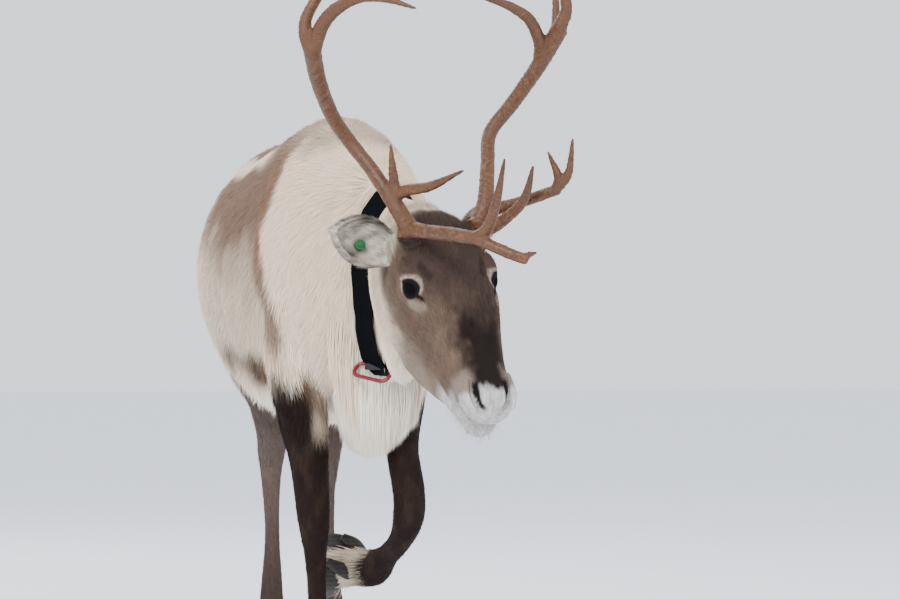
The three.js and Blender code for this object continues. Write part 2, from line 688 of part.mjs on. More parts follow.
add(reindeer, 'tail', tailForm().subtract(trunkGrown), creamCoat);
Object.entries(legParts).forEach(([name, leg]) => {
  add(reindeer, `leg_${name}_upper`, leg.upper, name.startsWith('front') ? darkCoat : greyCoat);
  add(reindeer, `leg_${name}_lower`, leg.lower, darkCoat);
  const foot = new THREE.Group();
  footMatrices[name].decompose(foot.position, foot.quaternion, foot.scale);
  reindeer.add(foot);
  const toFoot = footMatrices[name].clone().invert();
  const legGrown = moved(leg.grown, toFoot);
  SIDES.forEach(([sideName, side]) => {
    add(foot, `hoof_${name}_${sideName}`, claw(side), hoofHorn);
    const spur = dewClaw(side).subtract(legGrown).subtract(claw(side, GAP));
    add(foot, `dewclaw_${name}_${sideName}`, spur, hoofHorn);
  });
});
add(reindeer, 'collar_strap', strap, strapBlack);
add(reindeer, 'collar_clip', cutBy(clipFrame(), [strapGrown, keeperBand(GAP)]), clipRed);
add(reindeer, 'collar_keeper', keeperBand().subtract(strapGrown), strapBlack);

// The origin stands on the floor, under the middle of the whole
reindeer.updateMatrixWorld(true);
const bounds = new THREE.Box3().setFromObject(reindeer, true);
const middle = bounds.getCenter(new THREE.Vector3());
reindeer.position.set(-middle.x, -middle.y, -bounds.min.z);

export default reindeer;
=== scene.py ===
"""Looks of a life-size walking reindeer: skin, winter coat, antlers, hooves, eyes, collar and ear tag."""

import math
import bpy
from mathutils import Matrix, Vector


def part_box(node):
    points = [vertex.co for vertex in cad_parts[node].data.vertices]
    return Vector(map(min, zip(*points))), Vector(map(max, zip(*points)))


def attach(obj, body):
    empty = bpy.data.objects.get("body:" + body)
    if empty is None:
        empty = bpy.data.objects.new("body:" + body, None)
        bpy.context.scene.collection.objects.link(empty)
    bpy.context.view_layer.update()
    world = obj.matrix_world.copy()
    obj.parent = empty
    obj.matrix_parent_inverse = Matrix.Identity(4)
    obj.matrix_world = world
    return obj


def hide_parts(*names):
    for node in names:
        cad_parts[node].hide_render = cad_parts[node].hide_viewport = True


bl_info = {
    "name": "Walking reindeer",
    "version": (1, 0, 0),
    "blender": (4, 5, 0),
    "location": "View3D > Sidebar > Reindeer",
    "description": "Builds the skin, coat, antlers, hooves, eyes, collar and ear tag of a reindeer",
    "category": "Add Mesh",
}

import bmesh
import bpy
import numpy as np
from mathutils import Matrix, Vector
from mathutils.bvhtree import BVHTree
from mathutils.kdtree import KDTree

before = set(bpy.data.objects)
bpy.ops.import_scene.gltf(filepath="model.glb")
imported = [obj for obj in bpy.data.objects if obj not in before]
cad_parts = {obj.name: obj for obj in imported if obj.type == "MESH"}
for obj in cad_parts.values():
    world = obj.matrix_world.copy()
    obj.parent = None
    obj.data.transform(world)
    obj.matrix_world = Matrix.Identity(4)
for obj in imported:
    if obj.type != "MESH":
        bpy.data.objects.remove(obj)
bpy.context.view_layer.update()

MM = 0.001
RIGHT, LEFT = -1, 1
UP = np.array([0.0, 0.0, 1.0])
ACROSS = (-1.0, 0.0, 0.0)

# Sizes in millimetres, in the animal's own frame: it faces -Y and stands on Z = 0.
# Rows of a body are x, y, z of its middle, then its reach to the side, up and down.
POLL = np.array([68.0, -291.0, 752.0])
HEAD_PITCH, HEAD_YAW, HEAD_ROLL = 55.5, 17.5, -8.0
TRUNK = [
    (0, 850, 722, 86, 112, 125), (0, 795, 708, 130, 172, 178), (0, 700, 700, 150, 207, 198),
    (0, 580, 692, 166, 222, 204), (0, 450, 694, 174, 218, 228), (0, 310, 700, 168, 228, 242),
    (0, 180, 708, 150, 233, 242), (0, 60, 698, 132, 205, 222), (2, -35, 684, 114, 160, 186),
    (3, -66, 681, 80, 108, 134),
]
NECK = [
    (0, 80, 690, 118, 226, 196), (8, -10, 690, 108, 190, 180), (24, -80, 690, 84, 152, 158),
    (38, -135, 690, 69, 120, 136), (48, -180, 690, 63, 96, 110), (55, -225, 690, 54, 74, 78),
]
MANE_CORE = [
    (44, -165, 600, 34, 40, 40), (34, -120, 560, 46, 60, 60), (22, -70, 540, 56, 60, 66),
    (12, -10, 535, 60, 60, 60), (6, 40, 540, 56, 50, 45),
]
TAIL = [
    (0, 828, 806, 30, 26, 26), (0, 862, 786, 34, 24, 24), (0, 877, 748, 34, 20, 20),
    (0, 883, 706, 25, 15, 15), (0, 878, 668, 8, 6, 6),
]
# Head, in its own frame: nose at -Y, brow at +Z. Rows are y, z of the middle, half-width, rise, drop.
SKULL = [
    (60, -84, 50, 40, 52), (30, -78, 67, 61, 98), (-10, -70, 76, 72, 124), (-50, -65, 80, 70, 144),
    (-90, -58, 78, 60, 150), (-130, -58, 71, 56, 148), (-170, -58, 61, 52, 127), (-210, -56, 52, 48, 96),
    (-245, -50, 46, 40, 58), (-275, -45, 46, 33, 28), (-298, -45, 40, 28, 22),
]
JAW = [
    (-120, -118, 54, 40, 60), (-180, -110, 48, 36, 48), (-225, -100, 43, 30, 40),
    (-262, -92, 38, 25, 31), (-290, -88, 30, 20, 27),
]
EYE_PLACE = np.array([57.0, -77.0, -36.0])
EYE_RADIUS = 17.0
LID_THICK = 4.0
EYE_OPENING = (14.2, 11.8, 24.0)
EYE_LONG = 1.15
NOSTRIL_SLIT = [(31, -264, -8), (33, -284, -17), (27, -303, -27), (17, -318, -33)]
NOSTRIL_WING = [(31, -262, -20, 9), (32, -284, -30, 13), (27, -302, -36, 12)]
MOUTH_LINE = [(-238, -82), (-262, -74), (-285, -67), (-330, -63)]
EARS = {
    "right": ((-48, -6, -54), (-158, 41, -42), (-0.07, -0.4, 0.91)),
    "left": ((48, 2, -56), (140, 76, -104), (0.55, -0.6, 0.5)),
}
EAR_LEAF = [(0, 20), (0.22, 28), (0.45, 39), (0.68, 37), (0.87, 23), (0.97, 9)]
EAR_TAG_PLACE = np.array([-112.0, 22.0, -60.0])
BEAM = [
    (-56, -5, 6, 16), (-62, 8, 12, 14), (-75, 35, 23, 12.5), (-96, 98, 28, 11), (-116, 150, 29, 11),
    (-149, 176, 66, 11.5), (-182, 201, 127, 12.5), (-204, 223, 188, 14),
]
ANTLERS = {
    "right": [
        BEAM,
        [(-203, 221, 180, 12), (-210, 240, 195, 11), (-205, 263, 212, 9), (-165, 307, 254, 8),
         (-138, 352, 280, 7), (-124, 398, 296, 4)],
        [(-200, 218, 182, 12), (-192, 235, 220, 11), (-176, 239, 256, 10), (-154, 228, 293, 8),
         (-129, 203, 321, 6), (-97, 168, 341, 2.5)],
        [(-58, -6, 14, 12), (-48, -34, 46, 11), (-30, -64, 80, 11), (-10, -98, 116, 10)],
        [(-12, -94, 112, 9), (0, -98, 140, 9), (9, -76, 181, 7), (18, -38, 229, 2.5)],
        [(-12, -96, 114, 9.5), (2, -120, 128, 8.5), (24, -146, 139, 8.5), (44, -160, 142, 8)],
        [(40, -156, 141, 7), (50, -152, 142, 5), (63, -149, 142, 2)],
        [(-77, 44, 22, 10), (-65, 41, 50, 9), (-42, 18, 92, 7.5), (-10, 5, 146, 2.5)],
        [(-74, 48, 34, 9), (-77, 77, 58, 6.5), (-80, 103, 83, 2.5)],
    ],
    "left": [
        [(-x, y, z, r) for x, y, z, r in BEAM],
        [(202, 219, 180, 12), (204, 225, 199, 11), (211, 240, 220, 9), (203, 283, 254, 8),
         (197, 323, 270, 7), (198, 371, 282, 4)],
        [(184, 205, 132, 11), (178, 218, 163, 10), (155, 234, 200, 9), (131, 241, 218, 8),
         (104, 245, 233, 6.5), (59, 252, 247, 2.5)],
        [(198, 210, 160, 9), (210, 243, 169, 7), (222, 287, 177, 5.5), (229, 324, 178, 2.5)],
        [(57, -5, 8, 12), (68, -18, 19, 10), (87, -20, 51, 9), (104, -14, 88, 7.5), (113, 14, 129, 2.5)],
        [(72, 26, 18, 11), (85, 13, 25, 10), (119, -2, 64, 9), (153, -15, 106, 8.5)],
        [(150, -14, 102, 8), (152, -3, 122, 7), (138, 27, 144, 2.5)],
        [(150, -14, 104, 8), (166, -4, 130, 6.5), (173, 33, 165, 2.5)],
    ],
}
# Legs: rows are x, y, z, half-width, reach forward, reach back; then where the foot stands,
# which way its toes point and which way its soles face.
LEGS = {
    "front_right": ([
        (-92, 90, 650, 50, 92, 84), (-96, 78, 560, 50, 78, 72), (-88, 52, 480, 44, 58, 54),
        (-83, 14, 390, 34, 42, 38), (-80, -10, 300, 29, 34, 31), (-76, -6, 240, 21, 24, 25),
        (-73, -4, 170, 18.5, 21, 22), (-71, -8, 112, 26, 27, 28), (-70, -18, 62, 25, 26, 26),
    ], (-70, -24, 0), (-0.1, -1, 0), (0, 0, -1)),
    "front_left": ([
        (84, 85, 640, 48, 92, 84), (86, 72, 550, 46, 76, 72), (74, 42, 482, 38, 56, 52),
        (58, -30, 410, 29, 42, 38), (56, -92, 345, 29, 33, 32), (52, -108, 306, 28, 30, 31),
        (50, -58, 270, 22, 24, 25), (42, 10, 240, 21, 22, 24), (30, 62, 220, 31, 34, 33),
        (6, 104, 216, 28, 28, 28),
    ], (-38, 150, 223.8), (0.233, 0.725, -0.646), (-0.777, 0.528, 0.27)),
    "hind_right": ([
        (-80, 725, 690, 60, 122, 100), (-66, 690, 590, 57, 118, 100), (-22, 745, 490, 40, 82, 70),
        (-4, 800, 425, 31, 50, 50), (2, 842, 375, 26, 36, 38), (3, 848, 330, 20, 26, 29),
        (4, 842, 235, 16.5, 20, 22), (2, 836, 116, 25, 27, 28), (2, 824, 64, 25, 26, 26),
    ], (2, 816, 0), (-0.05, -1, 0), (0, 0, -1)),
    "hind_left": ([
        (84, 705, 690, 60, 122, 100), (76, 620, 590, 62, 112, 96), (58, 596, 485, 41, 74, 66),
        (54, 598, 412, 30, 46, 46), (52, 606, 358, 26, 36, 38), (49, 588, 316, 21, 26, 29),
        (42, 520, 222, 17, 20, 22), (36, 448, 118, 25, 27, 28), (34, 424, 66, 25, 26, 26),
    ], (34, 412, 0), (0.08, -1, 0), (0, 0, -1)),
}
# Claws and dew claws, in the foot's own frame
CLAW = [
    (25, 34, 24, 15, 20, 30), (27, 12, 25, 20, 28, 32), (26, -16, 20, 20, 24, 30), (21, -40, 13, 14, 15, 22),
]
DEW_CLAW = [(22, 24, 70, 9, 9, 9), (26, 41, 53, 11, 10, 10), (27, 50, 32, 7, 5, 5)]
# Collar: middles of its rear and front edges, its thickness, and the length and width of its weave in metres
STRAP_REAR, STRAP_FRONT = np.array([27.0, -92.0, 690.0]), np.array([38.0, -134.0, 690.0])
STRAP_THICK = 2.8
STRAP_STEPS = 145
STRAP_LENGTH, STRAP_WIDTH = 1.05, 0.0434
RIB_PITCH, THREAD_PITCH = 0.0022, 0.0030
# How far the strap stands off the neck at the clip, where round the neck and over how many degrees
STRAP_BULGE, BULGE_TURN, BULGE_SPREAD = 9, 292, 20
CLIP_PLACE = np.array([-8.0, -124.0, 532.0])
CLIP_ALONG = np.array([0.7, -0.68, -0.2])
CLIP_UP = np.array([-0.45, -0.6, 0.66])
CLIP_SIZE, CLIP_BAR = (63, 26, 11), (3.4, 2.5)
KEEPER_PLACE = np.array([0.0, -116.0, 541.0])
KEEPER_SIZE, KEEPER_DROP, KEEPER_TALL = (39.5, 13.5, 5), 5.4, 10.5
# Steps of the ear tag: radius, and how low and high each reaches
TAG_STEPS = [(8.4, -3.4, 1.6), (4.2, 1.0, 3.4)]

# Camera, from the photograph: 200 mm lens on a 36 mm sensor, 12 degrees to the animal's right
CAMERA_PLACE = np.array([-1501.5, -7727.4, 630.0])
CAMERA_AHEAD = (0.20791, 0.97815, 0.0019)
CAMERA_LENS, CAMERA_SENSOR = 200.0, 36.0

# Studio: the sky's colour and strength, and each light's name, place, power in watts and width in metres
SKY_COLOUR, SKY_STRENGTH = (0.87, 0.91, 0.98, 1), 1.55
LIGHTS = [
    ("key light", (-3.2, -4.6, 4.8), 420, 3.0), ("fill light", (4.2, -3.2, 3.2), 80, 4.0),
    ("back light", (-1.5, 4.5, 4.2), 150, 4.0),
]
LIT_PLACE = Vector((0, 0, 0.7))
FLOOR_REACH = 30

# How far the skin lies inside the solids, which reach to the tips of the coat
COAT_DEPTH = {"trunk": 4, "neck": 4, "mane": 6, "tail": 6, "skull": 2.2, "jaw": 2.2, "leg": 4}

# Edges of the voxels that merge the bodies, in metres
BODY_VOXEL, HEAD_VOXEL, ANTLER_VOXEL = 0.0072, 0.0021, 0.0026

# Width of the patch that a tuft has in the map its colours are baked by
BAKE_PATCH = 0.003


def rotation(degrees, axis):
    return np.array(Matrix.Rotation(math.radians(degrees), 3, axis))


HEAD_TURN = rotation(HEAD_YAW, "Z") @ rotation(HEAD_PITCH, "X") @ rotation(HEAD_ROLL, "Y")


def from_head(points):
    """Head places as places of the animal."""
    return POLL + np.asarray(points, float) @ HEAD_TURN.T


def to_head(points):
    return (np.asarray(points, float) - POLL) @ HEAD_TURN


def origin_shift():
    """Where the frame holds the animal's own origin, read from the right eye's box."""
    low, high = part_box("eye_right")
    eye = from_head(EYE_PLACE * (RIGHT, 1, 1)) * MM
    return np.array((low + high) / 2) - eye


SHIFT = origin_shift()


def placed(points):
    """Millimetres of the animal as metres of the frame."""
    return np.asarray(points, float) * MM + SHIFT


def unplaced(points):
    return (np.asarray(points, float) - SHIFT) / MM


def unit(vectors):
    vectors = np.asarray(vectors, float)
    return vectors / np.maximum(np.linalg.norm(vectors, axis=-1, keepdims=True), 1e-12)


def spline(rows, share):
    """Rows of numbers along a smooth line through the given rows, at shares from 0 to 1."""
    rows = np.asarray(rows, float)
    wide = np.vstack([2 * rows[0] - rows[1], rows, 2 * rows[-1] - rows[-2]])
    at = np.clip(np.asarray(share, float), 0, 1) * (len(rows) - 1)
    i = np.minimum(at.astype(int), len(rows) - 2)
    w = (at - i)[:, None]
    a, b, c, d = (wide[i + k] for k in range(4))
    return 0.5 * (2 * b + (c - a) * w + (2 * a - 5 * b + 4 * c - d) * w**2 + (3 * b - a - 3 * c + d) * w**3)


def headings(rows, share):
    step = 1e-3
    return unit(spline(rows, np.minimum(share + step, 1)) - spline(rows, np.maximum(share - step, 0)))


def side_of(middle):
    """A direction that stays clear of a bending line, to lay its cross-sections out by."""
    ends = headings(middle, np.array([0.0, 1.0]))
    turn = np.cross(ends[0], ends[1])
    if np.linalg.norm(turn) > 0.2:
        return unit(turn)
    axis = UP if abs(ends[0][2]) < 0.8 else np.array([1.0, 0.0, 0.0])
    return unit(np.cross(axis, ends[0]))


def rounded_body(rows, around=32, steps=6, side=None, caps=(0, 0), roundness=(2, 2), grow=0):
    """Places of a closed body drawn through rows, as rings from its start to its end, and the way
    ahead at each. Its ends are rounded over the lengths in caps."""
    rows = np.asarray(rows, float)
    middle, sizes = rows[:, :3], rows[:, 3:6]
    side = side_of(middle) if side is None else np.asarray(side, float)
    along = np.linspace(0, 1, (len(rows) - 1) * steps + 1)
    turn = np.radians(np.linspace(0, 75, 6))
    start_out, start_size = -(caps[0] + grow) * np.cos(turn), np.sin(turn)
    end_out, end_size = (caps[1] + grow) * np.cos(turn)[::-1], np.sin(turn)[::-1]
    share = np.concatenate([np.zeros(6), along, np.ones(6)])
    out = np.concatenate([start_out, np.zeros(len(along)), end_out])
    scale = np.concatenate([start_size, np.ones(len(along)), end_size])
    ahead = headings(middle, share)
    upward = unit(np.cross(side, ahead))
    across = unit(np.cross(ahead, upward))
    centre = spline(middle, share) + ahead * out[:, None]
    reach = (np.maximum(spline(sizes, share), 0.5) + grow) * scale[:, None]
    angle = 2 * np.pi * (np.arange(around + 1) % around) / around
    c, s = np.cos(angle), np.sin(angle)
    power = np.where(s >= 0, 2 / roundness[0], 2 / roundness[1])
    wide = np.sign(c) * np.abs(c) ** power
    tall = np.sign(s) * np.abs(s) ** power
    rise = np.where(s[None] >= 0, reach[:, 1:2], reach[:, 2:3]) * tall[None]
    places = centre[:, None] + across[:, None] * (reach[:, :1] * wide[None])[..., None]
    places = places + upward[:, None] * rise[..., None]
    return places, np.broadcast_to(ahead[:, None], places.shape)


def head_rows(rows):
    return [(0, y, z, side, up, down) for y, z, side, up, down in rows]


def branch_rows(rows):
    return [(x, y, z, r, r, r) for x, y, z, r in rows]


def mirrored(points, side):
    return np.asarray(points, float) * (side, 1, 1)


def ear_bodies(name):
    """The leaf of an ear and the hollow of its cup, in the head's frame."""
    root, tip, facing = (np.array(v, float) for v in EARS[name])
    axis = tip - root
    length = np.linalg.norm(axis)
    axis = axis / length
    side = unit(np.cross(axis, facing))

    def rows(leaf, inset, rise):
        return [
            (*(root + axis * t * length), max(half - inset, 1), rise, max(half * 0.55 + 3 - inset, 1))
            for t, half in leaf
        ]

    cup = [(t - 0.03, half) for t, half in EAR_LEAF[1:]]
    outer = rounded_body(rows(EAR_LEAF, 0, 7), 40, 8, side, caps=(6, 4))
    inner = rounded_body(rows(cup, 4.2, 40), 40, 8, side, caps=(4, 0))
    return outer, inner


# Meshes


def add_body(target, places):
    """Adds a closed body to a bmesh: a grid whose rows are carried to their places."""
    ring_count, columns = places.shape[:2]
    bm = bmesh.new()
    bmesh.ops.create_grid(bm, x_segments=columns - 1, y_segments=ring_count - 1, size=1)
    for vert in bm.verts:
        column = round((vert.co.x + 1) / 2 * (columns - 1))
        ring = round((vert.co.y + 1) / 2 * (ring_count - 1))
        vert.co = places[ring, column]
    bmesh.ops.remove_doubles(bm, verts=bm.verts, dist=1e-6)
    bmesh.ops.recalc_face_normals(bm, faces=bm.faces)
    mesh = bpy.data.meshes.new("body")
    bm.to_mesh(mesh)
    bm.free()
    target.from_mesh(mesh)
    bpy.data.meshes.remove(mesh)


def add_ball(target, centre, sizes, turn=None, around=24):
    """Adds an ellipsoid of the given half-sizes to a bmesh, both in metres."""
    matrix = Matrix.Diagonal((*sizes, 1))
    if turn is not None:
        matrix = Matrix(turn.tolist()).to_4x4() @ matrix
    matrix = Matrix.Translation(centre) @ matrix
    bmesh.ops.create_uvsphere(target, u_segments=around, v_segments=around // 2, radius=1, matrix=matrix)


def new_object(name, bm=None, mesh=None):
    if mesh is None:
        mesh = bpy.data.meshes.new(name)
        bm.to_mesh(mesh)
        bm.free()
    obj = bpy.data.objects.new(name, mesh)
    bpy.context.scene.collection.objects.link(obj)
    return obj


def with_modifier(obj, kind, **values):
    """The object's mesh after one modifier, in place of its own."""
    modifier = obj.modifiers.new(kind.lower(), kind)
    for key, value in values.items():
        setattr(modifier, key, value)
    graph = bpy.context.evaluated_depsgraph_get()
    graph.update()
    mesh = bpy.data.meshes.new_from_object(obj.evaluated_get(graph))
    obj.modifiers.clear()
    old = obj.data
    obj.data = mesh
    bpy.data.meshes.remove(old)
    return obj


def remeshed(name, bm, size):
    obj = new_object(name, bm)
    return with_modifier(obj, "REMESH", mode="VOXEL", voxel_size=size, adaptivity=0.0)


def combined(obj, other, operation):
    """Joins or cuts two closed meshes and removes the second."""
    faces = len(obj.data.polygons)
    with_modifier(obj, "BOOLEAN", operation=operation, object=other, solver="MANIFOLD")
    if len(obj.data.polygons) < faces // 2:
        raise RuntimeError(f"{obj.name} lost its shape in a {operation.lower()}")
    bpy.data.objects.remove(other)
    return obj


def read_values(items, field, wide, kind=np.float32):
    """What Blender keeps for each item of a mesh, as rows of numbers."""
    values = np.empty(len(items) * wide, kind)
    items.foreach_get(field, values)
    return values.reshape(-1, wide)


def vertex_places(mesh):
    return read_values(mesh.vertices, "co", 3).astype(float)


def vertex_normals(mesh):
    return read_values(mesh.vertex_normals, "vector", 3).astype(float)


def set_places(mesh, places):
    mesh.vertices.foreach_set("co", np.ascontiguousarray(places, np.float32).ravel())
    mesh.update()


def mesh_edges(mesh):
    return read_values(mesh.edges, "vertices", 2, np.int32)


def nearest_guides(points, guides):
    """The number of the guide that lies nearest to each point."""
    tree = KDTree(len(guides))
    for number, place in enumerate(guides):
        tree.insert(place, number)
    tree.balance()
    return np.array([tree.find(place)[1] for place in points])


def evened(values, edges, times, amounts=(0.5,)):
    """Values of vertices drawn towards those of their neighbours, a number of times."""
    count = len(values)
    degree = np.maximum(np.bincount(edges.ravel(), minlength=count), 1)[:, None]
    for turn in range(times):
        total = np.stack([
            np.bincount(edges[:, 0], values[edges[:, 1], k], count)
            + np.bincount(edges[:, 1], values[edges[:, 0], k], count)
            for k in range(values.shape[1])
        ], 1)
        values = values + amounts[turn % len(amounts)] * (total / degree - values)
    return values


def smoothed(obj, times):
    """Takes the steps of a remesh away, without shrinking the shape."""
    mesh = obj.data
    set_places(mesh, evened(vertex_places(mesh), mesh_edges(mesh), times, (0.6, -0.62)))
    return obj


def store(mesh, name, values, kind):
    """Puts values on the vertices under a name that materials and later steps read."""
    attribute = mesh.attributes.get(name) or mesh.attributes.new(name, kind, "POINT")
    field = {"FLOAT": "value", "FLOAT_VECTOR": "vector", "FLOAT_COLOR": "color"}[kind]
    if kind == "FLOAT_COLOR":
        values = np.column_stack([values, np.ones(len(values))])
    attribute.data.foreach_set(field, np.ascontiguousarray(values, np.float32).ravel())


def stored(mesh, name):
    attribute = mesh.attributes[name]
    wide = {"FLOAT": 1, "FLOAT_VECTOR": 3, "FLOAT_COLOR": 4}[attribute.data_type]
    field = {1: "value", 3: "vector", 4: "color"}[wide]
    return read_values(attribute.data, field, wide)[:, :3].astype(float)


def shade_smooth(obj):
    obj.data.polygons.foreach_set("use_smooth", np.ones(len(obj.data.polygons), bool))
    obj.data.update()


def finished(obj, material, slot, nodes=()):
    """Gives a piece its material and body, and hides the nodes it replaces; its slot is not used."""
    obj.data.materials.clear()
    obj.data.materials.append(material)
    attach(obj, "root")
    if nodes:
        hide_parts(*nodes)
    return obj


def bake_map(obj):
    """Unwraps a piece's own shape into the map that its colours are baked by."""
    for other in bpy.context.selected_objects:
        other.select_set(False)
    obj.data.uv_layers.new(name="OFBake")
    bpy.context.view_layer.objects.active = obj
    obj.select_set(True)
    bpy.ops.object.mode_set(mode="EDIT")
    bpy.ops.mesh.select_all(action="SELECT")
    bpy.ops.uv.smart_project(angle_limit=math.radians(66), island_margin=0.002)
    bpy.ops.object.mode_set(mode="OBJECT")
    obj.select_set(False)


# Colours


def linear(red, green, blue):
    """A screen colour from 0 to 255 as light."""
    value = np.array([red, green, blue], float) / 255
    return np.where(value <= 0.04045, value / 12.92, ((value + 0.055) / 1.055) ** 2.4)


CREAM = linear(238, 218, 191)
WHITE_HAIR = linear(245, 235, 218)
SADDLE = linear(128, 103, 88)
SADDLE_EDGE = linear(138, 102, 80)
SADDLE_PALE = linear(206, 186, 163)
FLANK_DARK = linear(92, 72, 58)
WITHERS = linear(172, 150, 130)
LEG_DARK = linear(31, 20, 17)
LEG_GREY = linear(96, 81, 74)
FACE_MID = linear(101, 83, 70)
FACE_DARK = linear(30, 22, 20)
BROW = linear(70, 56, 49)
CHEEK = linear(206, 189, 168)
MUZZLE = linear(200, 197, 194)
GRIZZLED = linear(142, 128, 116)
# Black skin of the lids and tear corners, also used as painted shade in the nostril hollows and between the
# lips
BLACK_SKIN_AND_SHADE = linear(16, 13, 13)
EAR_DARK = linear(48, 40, 36)
BONE_DARK, BONE_BROWN, BONE_PALE = linear(54, 31, 14), linear(90, 53, 24), linear(138, 86, 41)
BONE_BLOTCH, BONE_TIP = linear(56, 33, 15), linear(52, 36, 26)
HORN_DARK, HORN_RING = linear(36, 31, 28), linear(62, 55, 49)
IRIS_DARK, IRIS_BROWN = linear(20, 14, 11), linear(44, 31, 23)
# The pupil's blue-grey is a painted reflection of the sky
PUPIL_SKY_REFLECTION, EYE_EDGE = linear(40, 48, 62), linear(10, 8, 8)
# The thread colour also carries the painted highlight on the raised weave
WEB_BLACK, WEB_THREAD_AND_HIGHLIGHT = linear(2, 3, 4), linear(12, 14, 18)
CLIP_RED, KEEPER_BLACK, TAG_GREEN = linear(112, 8, 12), linear(5, 6, 8), linear(2, 88, 36)
WORN_PLASTIC = (0.5, 0.5, 0.5)


def ramp(value, low, high):
    """0 below low, 1 above high and smooth between; high may be the smaller."""
    t = np.clip((value - low) / (high - low), 0, 1)
    return t * t * (3 - 2 * t)


def mottle(points, size, seed, octaves=3):
    """Smooth random values of about -1 to 1 over points, with patches of the given size."""
    random = np.random.default_rng(seed)
    total = np.zeros(len(points))
    weight = 1.0
    for _ in range(octaves):
        for _ in range(4):
            wave = unit(random.normal(size=3)) * (2 * np.pi / size)
            total += weight * np.sin(points @ wave + random.uniform(0, 2 * np.pi))
        size *= 0.5
        weight *= 0.55
    return total / 3


def blend_to(colour, other, mask):
    mask = np.clip(mask, 0, 1)[:, None]
    return colour * (1 - mask) + other * mask


def blob(points, centre, sizes):
    """1 at the centre of a soft patch, 0 outside it."""
    return np.exp(-np.sum(((points - centre) / sizes) ** 2, axis=1))


# Front edge of the saddle: height, and how far back it lies there
SADDLE_FRONT = [(560, 14), (600, 26), (643, 50), (690, 96), (750, 106), (880, 113)]
# Dark patches on the flank: place along and up, reach along and up, and strength
FLANK_PATCHES = [((225, 548), (75, 22), 1.0), ((430, 565), (150, 24), 0.6)]
# Painted shade in the fold between the right elbow and the breast
ELBOW_FOLD_SHADE = [(-88, 2, 520), (-34, -4, 452)]
# Where the dark hair of each leg begins
LEG_TOP = {"front_right": 560, "front_left": 535, "hind_right": 620, "hind_left": 620}
LEG_EDGE = 62


def trunk_colours(p):
    """Cream, with a brown saddle that pales down the flank, brown withers, a dark patch above the white
    belly, a pale stripe beside the spine and a white rump."""
    y, z = p[:, 1], p[:, 2]
    side = np.abs(p[:, 0])
    rough = mottle(p, 160, 3)
    fine = mottle(p * (1, 1, 0.3), 22, 5)
    colour = np.tile(CREAM, (len(p), 1))
    behind = y - np.interp(z, *zip(*SADDLE_FRONT)) + 7 * rough + 5 * fine
    inside = ramp(behind, -8, 14) * ramp(y + 30 * rough, 800, 640)
    high = ramp(z + 30 * rough + 16 * fine - ramp(y, 350, 560) * 50, 640, 790)
    band = ramp(behind, 95, 20) * ramp(z, 545, 590)
    colour = blend_to(colour, SADDLE_PALE, inside * ramp(z, 560, 620) * (0.75 + 0.2 * fine))
    colour = blend_to(colour, SADDLE, inside * np.maximum(high, band * 0.85))
    colour = blend_to(colour, SADDLE_EDGE, inside * ramp(behind, 60, 8) * ramp(z, 640, 720) * 0.8)
    colour = colour * (1 + 0.07 * inside * fine)[:, None]
    stripe = ramp(y, 190, 320) * ramp(np.abs(side - 84 + 6 * rough), 20, 8) * ramp(z, 830, 865)
    colour = blend_to(colour, CREAM, stripe * 0.9)
    flank = sum(blob(p[:, 1:], centre, reach) * strength for centre, reach, strength in FLANK_PATCHES)
    colour = blend_to(colour, FLANK_DARK, flank * (1.35 + 0.4 * fine))
    colour = blend_to(colour, WITHERS, withers(p) * (0.85 + 0.4 * fine))
    colour = blend_to(colour, WHITE_HAIR, ramp(z + 8 * rough, 528, 508))
    return blend_to(colour, WHITE_HAIR, ramp(y + 20 * rough, 790, 850) * ramp(side, 130, 80))


def withers(p):
    """1 on the brown hump above the shoulders, 0 away from it."""
    x, y, z = p.T
    return ramp(z, 862, 896) * ramp(y, -60, 10) * ramp(y, 240, 150) * ramp(np.abs(x - 4), 105, 50)


def neck_colours(p):
    colour = np.tile(CREAM, (len(p), 1))
    colour = blend_to(colour, WHITE_HAIR, ramp(p[:, 2], 600, 540))
    colour = blend_to(colour, SADDLE_PALE, 0.4 * ramp(mottle(p, 60, 12), 0.1, 0.9) * ramp(p[:, 2], 660, 780))
    colour = blend_to(colour, WITHERS, withers(p) * (0.85 + 0.4 * mottle(p, 22, 5)))
    # Painted shade in the fold between the right elbow and the breast
    return blend_to(colour, FLANK_DARK, ramp(line_distance(p, ELBOW_FOLD_SHADE), 26, 8) * 0.85)


def leg_colours(p, name):
    """Dark below a ragged edge at the elbow or thigh, with cream hair at the hooves. The right foreleg,
    which faces the camera, is paler inside and has painted shade in the fold at its elbow."""
    rough = mottle(p * (1, 1, 0.35), 30, 21)
    front = name.startswith("front")
    top = LEG_TOP[name]
    dark = LEG_DARK if front else LEG_GREY
    colour = blend_to(trunk_colours(p), dark, ramp(p[:, 2] + 18 * rough, top, top - LEG_EDGE))
    if name == "front_right":
        inner = ramp(p[:, 0] * RIGHT, 88, 72) * ramp(p[:, 2], 408, 455) * ramp(p[:, 2], 540, 515)
        colour = blend_to(colour, SADDLE_PALE, inner * 0.75)
        # Painted shade in the fold at the elbow
        colour = blend_to(colour, FLANK_DARK, ramp(line_distance(p, ELBOW_FOLD_SHADE), 22, 8) * 0.7)
    elif not front:
        colour = blend_to(colour, LEG_DARK, ramp(p[:, 2] + 12 * rough, 380, 60) * 0.8)
    patchy = mottle(p * (1, 1, 0.4), 34, 24)
    brown = ramp(patchy, -0.2, 1.2) * ramp(p[:, 2], top, top - LEG_EDGE)
    colour = blend_to(colour, FLANK_DARK, brown * 0.14)
    local = to_foot(p, name)
    fringe = ramp(local[:, 2] + 6 * rough, 100, 74) * near_foot(local)
    return blend_to(colour, CREAM, fringe * (0.75 + 0.2 * patchy))


